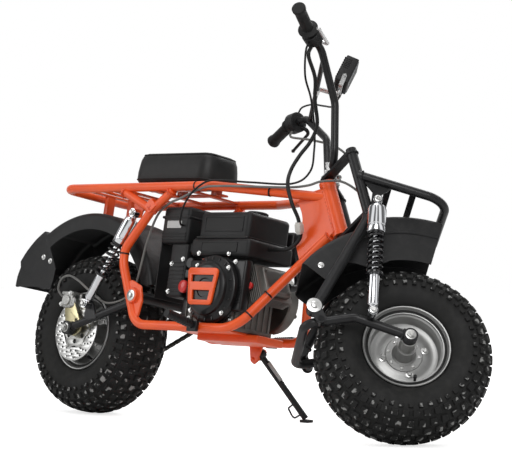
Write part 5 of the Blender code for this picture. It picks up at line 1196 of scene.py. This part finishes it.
# The cables: a grey brake hose, a throttle cable, a wiring loom and the lamp's lead, each along
# its real route and tied where it passes the frame.
HOSE_GREY = finish("brake_hose", (0.10, 0.10, 0.095), (0.17, 0.165, 0.155), (0.40, 0.55), grain=1500.0,
                   depth=0.3)
SHEATH = finish("cable_sheath", (0.006, 0.006, 0.006), (0.010, 0.010, 0.010), (0.35, 0.50), grain=1200.0,
                depth=0.2)
HOUSING_UNDER_Z = 0.9840
LEFT_ENTRY, THROTTLE_ENTRY, LOOM_ENTRY = (0.7287, 0.2303), (0.7230, -0.2385), (0.7327, -0.2246)
CABLES = {
    "brake_hose": (0.0035, HOSE_GREY, "chassis", [
        (-0.068 - GAP, -0.104, 0.342), (-0.082, -0.105, 0.342), (-0.096, -0.113, 0.362),
        (-0.080, -0.120, 0.392), (-0.045, -0.121, 0.404), (0.000, -0.119, 0.390), (0.050, -0.114, 0.362),
        (0.130, -0.114, 0.326), (0.200, -0.116, 0.331), (0.250, -0.118, 0.356), (0.270, -0.118, 0.400),
        (0.290, -0.119, 0.510), (0.322, -0.121, 0.590), (0.385, -0.138, 0.622), (0.455, -0.161, 0.632),
        (0.548, -0.164, 0.661), (0.600, -0.153, 0.668), (0.690, -0.115, 0.673), (0.800, -0.070, 0.678),
        (0.860, -0.054, 0.686), (0.905, -0.048, 0.698), (0.955, -0.020, 0.702), (0.992, 0.012, 0.680),
        (0.985, 0.050, 0.662), (0.950, 0.078, 0.680), (0.918, 0.090, 0.735), (0.870, 0.100, 0.790),
        (0.780, 0.118, 0.838), (0.660, 0.138, 0.866), locked((*LEFT_ENTRY, 0.960)),
        locked((*LEFT_ENTRY, HOUSING_UNDER_Z))]),
    "throttle_cable": (0.0030, SHEATH, "chassis", [
        (0.440, -0.120 - GAP, 0.560), (0.440, -0.130, 0.560), (0.450, -0.145, 0.573), (0.475, -0.162, 0.608),
        (0.515, -0.1725, 0.647), (0.560, -0.168, 0.677), (0.600, -0.152, 0.685), (0.690, -0.110, 0.686),
        (0.800, -0.056, 0.692), (0.822, -0.015, 0.735), (0.812, 0.000, 0.800), (0.812, -0.010, 0.860),
        (0.832, -0.060, 0.935), (0.855, -0.118, 0.985), locked((*THROTTLE_ENTRY, 0.950)),
        locked((*THROTTLE_ENTRY, HOUSING_UNDER_Z))]),
    "wiring_loom": (0.0055, SHEATH, "chassis", [
        (0.720 + GAP, -0.034, 0.505), (0.745, -0.034, 0.505), (0.800, -0.036, 0.508), (0.842, -0.040, 0.540),
        (0.846, -0.060, 0.586), (0.835, -0.083, 0.628), (0.811, -0.086, 0.683), (0.792, -0.062, 0.730),
        (0.798, -0.040, 0.778), (0.816, -0.024, 0.820), (0.834, -0.024, 0.869), (0.850, -0.062, 0.930),
        (0.876, -0.100, 0.985), locked((*LOOM_ENTRY, 0.950)), locked((*LOOM_ENTRY, HOUSING_UNDER_Z))]),
    "lamp_lead": (0.0028, SHEATH, "steering", [
        (0.8416, 0.017, 1.0269), (0.8397, 0.019, 1.0133), (0.830, 0.050, 0.990), (0.800, 0.110, 1.020),
        (0.765, 0.165, 1.050), (0.735, 0.215, 1.062), (*LEFT_ENTRY, 1.050), (*LEFT_ENTRY, 1.0375)])}
for name, (radius, sheath, body, route) in CABLES.items():
    place = steered if body == "steering" else machine
    line = smooth_line(route, 0.008)
    run = place(line)
    made = piece(name + "_run", [swept(line, radius, 14)], place, None if body == "chassis" else body, sheath,
                 "rubber", (name,))
    if body == "chassis":
        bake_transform(made)

CONNECTOR = finish("connector_nylon", (0.52, 0.50, 0.46), (0.62, 0.60, 0.56), (0.40, 0.50), grain=700.0,
                   depth=0.1)
plug_low, plug_high = np.array((0.8425, -0.0420, 0.5440)), np.array((0.8462, -0.0595, 0.5850))
plug_turn = basis(plug_high - plug_low)
on_frame("loom_connector", [box((0.017, 0.021, 0.024), (plug_low + plug_high) / 2, 0.002, plug_turn),
                            box((0.014, 0.017, 0.034), (plug_low + plug_high) / 2, 0.002, plug_turn)],
         CONNECTOR, "black_plastic")
ties = []
for spot, along in (((0.500, -SIDE_Y, RAIL_Z), (1, 0, 0)), ((0.735, -0.0750, 0.6656), (0.93, 0.37, -0.03)),
                    ((0.790, -0.0832, 0.3680), (0.406, 0.446, 0.797)),
                    ((0.758, -0.1180, 0.3050), (0.406, 0.446, 0.797)), ((0.2245, -SIDE_Y, 0.470), (0, 0, 1))):
    inner, outer, half = TUBE_R - 0.0008, TUBE_R + 0.0014, 0.0022
    ties.append(revolved([(inner, -half), (outer, -half), (outer, half), (inner, half)], spot, along, 28,
                         True))
on_frame("cable_ties", ties, SHEATH, "black_plastic")

# The side stand: a steel leg on a slanted pivot with a sole, a wire loop for the boot and a
# spring that holds it out.
FOOT_X, FOOT_Y = 0.632, 0.300
foot_world = machine((FOOT_X, FOOT_Y, 0.060))
foot_world[2] = 0.004
ankle = AXES.T @ (foot_world + (0, 0, 0.004) - HOME)
sole = AXES.T @ (foot_world - HOME)
leg_axis = unit(ankle - STAND_PIVOT)
leg_side = unit(np.cross(STAND_AXIS, leg_axis))
stand_leg = [swept([STAND_PIVOT, ankle - leg_axis * 0.004], 0.0092, 20),
             box((0.032, 0.026, 0.008), sole, 0.0015, AXES.T),
             sleeve(0.0054, 0.014, -0.0125, 0.0125, STAND_PIVOT, STAND_AXIS, 32)]
high, low = ankle - leg_axis * 0.060, ankle - leg_axis * 0.022
wire = bent([high, high + leg_side * 0.054 + leg_axis * 0.004, low + leg_side * 0.066 + leg_axis * 0.002,
             low], 0.010, 8)
stand_leg.append(swept(wire, 0.0028, 12))
hook = STAND_PIVOT + leg_axis * 0.105 - leg_side * 0.013
stand_leg.append(rod(STAND_PIVOT + leg_axis * 0.105, hook - leg_side * 0.004, 0.0035))
piece("stand_leg", stand_leg, machine, "stand", BLACK, "black_paint", ("side_stand",))
spring_top = STAND_PIVOT + leg_axis * 0.024 - leg_side * 0.015
spring_run = np.linalg.norm(hook - spring_top)
wind = np.linspace(0, 2 * math.pi * 17, 17 * 14)
coil_points = np.column_stack((0.0052 * np.cos(wind), 0.0052 * np.sin(wind),
                               0.008 + (spring_run - 0.016) * wind / wind[-1]))
spring_line = np.vstack(([(0, 0, 0.0)], coil_points, [(0, 0, spring_run)]))
piece("stand_spring", [swept(spring_top + spring_line @ basis(hook - spring_top).T, 0.0012, 7)], machine,
      "stand", ZINC, "steel")

# The footpegs: knurled steel tubes clamped to the lower rails.
for side, label in ((-1, "right"), (1, "left")):
    root, end = np.array((0.585, side * (SIDE_Y + 0.008), 0.262)), np.array((0.577, side * 0.262, 0.282))
    along = end - root
    rings = [revolved([(0.0118, 0), (0.0136, 0.0012), (0.0136, 0.0038), (0.0118, 0.005)],
                      root + along * (0.22 + 0.083 * step), along, 10) for step in range(9)]
    on_frame("footpeg_" + label + "_tube", [swept([root, end], 0.0120, 20), *rings,
                                            box((0.040, 0.012, 0.030),
                                                (0.585, side * (SIDE_Y + TUBE_R + 0.0065), 0.260), 0.003)],
             BLACK, "black_paint", "footpeg_" + label)

# The engine: a cast crankcase, a slanted finned cylinder, a black cowl with a recoil starter
# behind an orange badge, and a moulded tank cover with recessed panels.
CRANK, RECOIL_R, RECOIL_FACE_Y = (0.603, 0.372), 0.098, -0.160
ENGINE_FOOT, BLOCK_X, BLOCK_Y = BED_TOP + GAP, 0.571, -0.018
crankcase = [box((0.200, 0.160, 0.186), (BLOCK_X, BLOCK_Y, ENGINE_FOOT + 0.095), 0.010),
             box((0.207, 0.170, 0.012), (BLOCK_X, BLOCK_Y, ENGINE_FOOT + 0.0062), 0.003),
             box((0.207, 0.170, 0.008), (BLOCK_X, BLOCK_Y, ENGINE_FOOT + 0.120), 0.003)]
crankcase += [box((0.0045, 0.170, 0.150), (x, BLOCK_Y, ENGINE_FOOT + 0.083), 0.0018)
              for x in np.linspace(0.482, 0.662, 8)]
crankcase += [box((0.207, 0.0045, 0.150), (BLOCK_X, y, ENGINE_FOOT + 0.083), 0.0018)
              for y in np.linspace(-0.085, 0.050, 7)]
on_frame("crankcase", crankcase, CAST, "cast", "engine_block")
HEAD = np.array((0.7195, -0.008, 0.405))
head_turn = np.array(Matrix.Rotation(math.radians(-25), 3, "Y"))
fins = [box((0.055, 0.100, 0.080), HEAD, 0.005, head_turn)]
fins += [box((0.0030, 0.130, 0.105), HEAD + head_turn @ (offset, 0, 0), 0.0012, head_turn)
         for offset in np.linspace(-0.026, 0.010, 6)]
fins += [box((0.013, 0.092, 0.072), HEAD + head_turn @ (0.0210, 0, 0), 0.005, head_turn)]
fins += bolts([HEAD + head_turn @ (0.0275, y, z) for z in (-0.030, 0.030) for y in (-0.040, 0.040)],
              head_turn @ (1, 0, 0), 0.0052, 0.0070, 0.004)
on_frame("finned_cylinder", fins, CAST, "cast", "cylinder_head")
COWL = finish("black_cowl", (0.006, 0.006, 0.0065), (0.011, 0.011, 0.0115), (0.28, 0.40), grain=500.0,
              depth=0.12, dust=0.03, coat=0.12)
cowl = [box((0.060, 0.030, 0.150), (0.688, -0.100, 0.388), 0.008),
        box((0.190, 0.016, 0.100), (0.580, -0.106, 0.410), 0.006)]
cowl += [box((0.050, 0.004, 0.0035), (0.688, -0.1145, 0.340 + 0.009 * step), 0.0012) for step in range(6)]
on_frame("engine_cowl", cowl, COWL, "black_plastic")
recoil = [(radius, RECOIL_FACE_Y + deep) for radius, deep in (
    (0, 0.004), (0.026, 0.004), (0.028, 0.001), (0.040, 0), (0.064, 0), (0.070, 0.002), (0.077, 0.008),
    (0.0785, 0.014), (0.0765, 0.0155), (0.0765, 0.0185), (0.082, 0.022), (0.094, 0.025), (RECOIL_R, 0.029),
    (RECOIL_R, 0.0415), (RECOIL_R - 0.004, 0.044), (RECOIL_R - 0.004, 0.048), (RECOIL_R, 0.050),
    (RECOIL_R, 0.0562), (0, 0.0562))]
crank_at = at_y(CRANK, 0.0)
recoil_parts = [revolved(recoil, crank_at, LEFT, 72)]
for angle in 2 * math.pi * np.arange(20) / 20:
    spoke = np.array(Matrix.Rotation(-angle, 3, "Y"))
    recoil_parts.append(box((0.011, 0.004, 0.0042), crank_at + spoke @ (0.0885, RECOIL_FACE_Y + 0.0235, 0),
                            0.0012, spoke))
on_frame("recoil_cover", recoil_parts, COWL, "black_plastic", "recoil_housing")
recoil_spots = [*around(crank_at, 0.0915, 4, RECOIL_FACE_Y + 0.0245, 0.75), (0.500, -0.1045, 0.452),
                (0.675, -0.1155, 0.455), (0.500, -0.1045, 0.290), (0.668, -0.1045, 0.290),
                (0.520, -0.1172, 0.4785), (0.645, -0.1172, 0.4785), (0.402, -0.1098, 0.448),
                (0.448, -0.1098, 0.462), (0.402, -0.1098, 0.366)]
recoil_bolts = bolts(recoil_spots, (0, -1, 0), 0.0050, 0.0072, 0.004)
on_frame("recoil_bolts", recoil_bolts, ZINC, "steel")
carburettor = [box((0.052, 0.060, 0.110), (0.4755, -0.060, 0.405), 0.008),
               box((0.060, 0.040, 0.060), (0.470, -0.066, 0.325), 0.010),
               rod((0.474, -0.086, 0.452), (0.474, -0.106, 0.452), 0.016, 0.002),
               box((0.090, 0.005, 0.024), (0.452, -0.1020, 0.420), 0.002)]
on_frame("carburettor", carburettor, COWL, "black_plastic")
on_frame("splash_flap", [box((0.0030, 0.170, 0.225), (0.3459, -0.025, 0.4575), 0.0012)], GUARD,
         "black_plastic")
badge_corners = ((-0.003, 0.056), (-0.066, 0.056), (-0.048, -0.050), (0.044, -0.050), (0.060, 0.056),
                 (-0.002, 0.056))
badge = bent([(CRANK[0] + x, 0, CRANK[1] + z) for x, z in badge_corners], 0.012, 8)[:-1]
windows = [[(CRANK[0] + x, CRANK[1] + z) for x, z in window] for window in (
    [(-0.048, 0.036), (0.044, 0.036), (0.041, 0.016), (-0.046, 0.016)],
    [(-0.038, -0.008), (0.034, -0.008), (0.030, -0.036), (-0.034, -0.036)])]
on_frame("badge_frame", [pierced(badge[:, (0, 2)], windows, RECOIL_FACE_Y - 0.0073, RECOIL_FACE_Y - GAP,
                                 0.0010)], ORANGE, "frame_paint", "recoil_badge")
CAP_R, CAP_X, CAP_Y, COVER_X, COVER_Y = 0.030, 0.655, -0.035, 0.600, -0.025
cover = [box((0.205, 0.170, 0.085), (COVER_X, COVER_Y, 0.5605), 0.014),
         box((0.240, 0.185, 0.054), (COVER_X, COVER_Y, 0.4975), 0.012),
         box((0.212, 0.176, 0.006), (COVER_X, COVER_Y, 0.5270), 0.002),
         revolved([(0, 0.590), (CAP_R - 0.002, 0.590), (CAP_R - 0.002, 0.600), (CAP_R, 0.601), (CAP_R, 0.611),
                   (CAP_R - 0.003, 0.613), (0.012, 0.613), (0.010, 0.6115), (0, 0.6115)], (CAP_X, CAP_Y, 0),
                  (0, 0, 1), 48)]
cover += [box((0.0035, 0.0028, 0.010), (CAP_X + CAP_R * math.cos(a), CAP_Y + CAP_R * math.sin(a), 0.606),
              0.001) for a in 2 * math.pi * np.arange(20) / 20]
on_frame("tank_cover", cover, GUARD, "black_plastic", "top_cover")
RECESS = finish("recessed_panel", (0.012, 0.012, 0.012), (0.018, 0.018, 0.018), (0.50, 0.62), grain=900.0,
                depth=0.25)


def panel_outline(x, z, width, height, corner=0.005):
    """A rounded rectangle about (x, z)."""
    half_w, half_h = width / 2 - corner, height / 2 - corner
    return np.vstack([arc((x + sx * half_w, z + sz * half_h), corner, start, start + 90, 5)
                      for sx, sz, start in ((1, 1, 0), (-1, 1, 90), (-1, -1, 180), (1, -1, 270))])


frames, panels = [], []
for z, width, height, wall, face in ((0.566, 0.160, 0.046, 0.010, -0.1118),
                                     (0.4975, 0.150, 0.032, 0.008, -0.1193)):
    outer, inner, pane = (panel_outline(COVER_X, z, width - less, height - less)
                          for less in (0, wall, wall - 0.002))
    frames.append(pierced(outer, [inner], face, face + 0.0030))
    panels.append(plate(pane, face + 0.0012, face + 0.0028, 0.0004))
on_frame("cover_frames", frames, GUARD, "black_plastic")
on_frame("cover_panels", panels, RECESS, "black_plastic")
FILTER_X, FILTER_Y = 0.405, -0.070
filter_parts = [box((0.115, 0.100, 0.110), (FILTER_X, FILTER_Y, 0.562), 0.012),
                box((0.119, 0.104, 0.008), (FILTER_X, FILTER_Y, 0.585), 0.003),
                box((0.070, 0.070, 0.160), (0.425, -0.075, 0.430), 0.008),
                box((0.030, 0.050, 0.028), (0.4647, -0.075, 0.4975), 0.004)]
filter_parts += [box((0.100, 0.003, 0.0035), (FILTER_X, -0.1205, 0.520 + 0.008 * step), 0.001)
                 for step in range(3)]
filter_parts += [box((0.060, 0.0035, 0.0035), (0.425, -0.1105, 0.368 + 0.012 * step), 0.001)
                 for step in range(8)]
on_frame("filter_box", filter_parts, GUARD, "black_plastic", "air_box")
PALE = finish("bare_plate", (0.30, 0.30, 0.30), (0.40, 0.40, 0.39), (0.35, 0.50), 0.4, grain=500.0, depth=0.1)
on_frame("filter_plate", [plate(panel_outline(0.402, 0.563, 0.062, 0.022, 0.003), -0.1216, -0.1202, 0.0003)],
         PALE, "steel")
RED = finish("red_plastic", (0.50, 0.012, 0.010), (0.62, 0.02, 0.015), (0.30, 0.40), grain=500.0, depth=0.1,
             coat=0.3)
KNOB_AT = (0.474, 0.380)
knob = [revolved([(0, 0.001), (0.0160, 0), (0.0185, 0.002), (0.0190, 0.006), (0.0175, 0.010),
                  (0.0120, 0.0125), (0, 0.0130)], at_y(KNOB_AT, -0.1125), (0, -1, 0), 36),
        rod(at_y(KNOB_AT, -0.085), at_y(KNOB_AT, -0.113), 0.012),
        revolved([(0, 0), (0.0095, 0), (0.0105, 0.002), (0.0105, 0.010), (0.0085, 0.012), (0, 0.012)],
                 (0.712, -0.080, 0.392), (0.2, -1, 0.1), 24)]
on_frame("red_knobs", knob, RED, "black_plastic")

# The exhaust on the left: a pressed steel box behind a slotted guard, and its pipe.
BOX_X, BOX_Z = 0.610, 0.530
pipe = bent([(0.726, 0.0573, 0.412), (0.726, 0.100, 0.412), (0.690, 0.108, 0.510)], 0.030, 9)
slits = [panel_outline(BOX_X + 0.026 * (step - 2), BOX_Z, 0.010, 0.062, 0.0045) for step in range(5)]
on_frame("silencer", [box((0.170, 0.046, 0.100), (BOX_X, 0.1060, BOX_Z), 0.014), swept(pipe, 0.011, 20),
                      pierced(panel_outline(BOX_X, BOX_Z, 0.164, 0.094, 0.012), slits, 0.1355, 0.1378)],
         BLACK, "black_paint", "muffler")
outline = np.vstack((arc(CRANK, 0.088, -100, 75, 30), arc(OUTPUT, 0.062, 80, 255, 20)))
case_spots = ((0.603, 0.290), (0.680, 0.340), (0.672, 0.425), (0.540, 0.450), (0.425, 0.420), (0.440, 0.350))
case_bolts = bolts([at_y(spot, 0.1465) for spot in case_spots], LEFT, 0.0048, 0.0066, 0.0035)
on_frame("chain_case", [plate(outline, 0.1095, 0.1470, 0.004),
                        plate(inset(outline, 0.014), 0.146, 0.1478, 0.001),
                        rod(at_y(OUTPUT, 0.068), at_y(OUTPUT, 0.1115), 0.012), toothed(OUTPUT, OUTPUT_R, 16)],
         CAST, "cast", "drive_cover")
on_frame("case_bolts", case_bolts, ZINC, "steel")
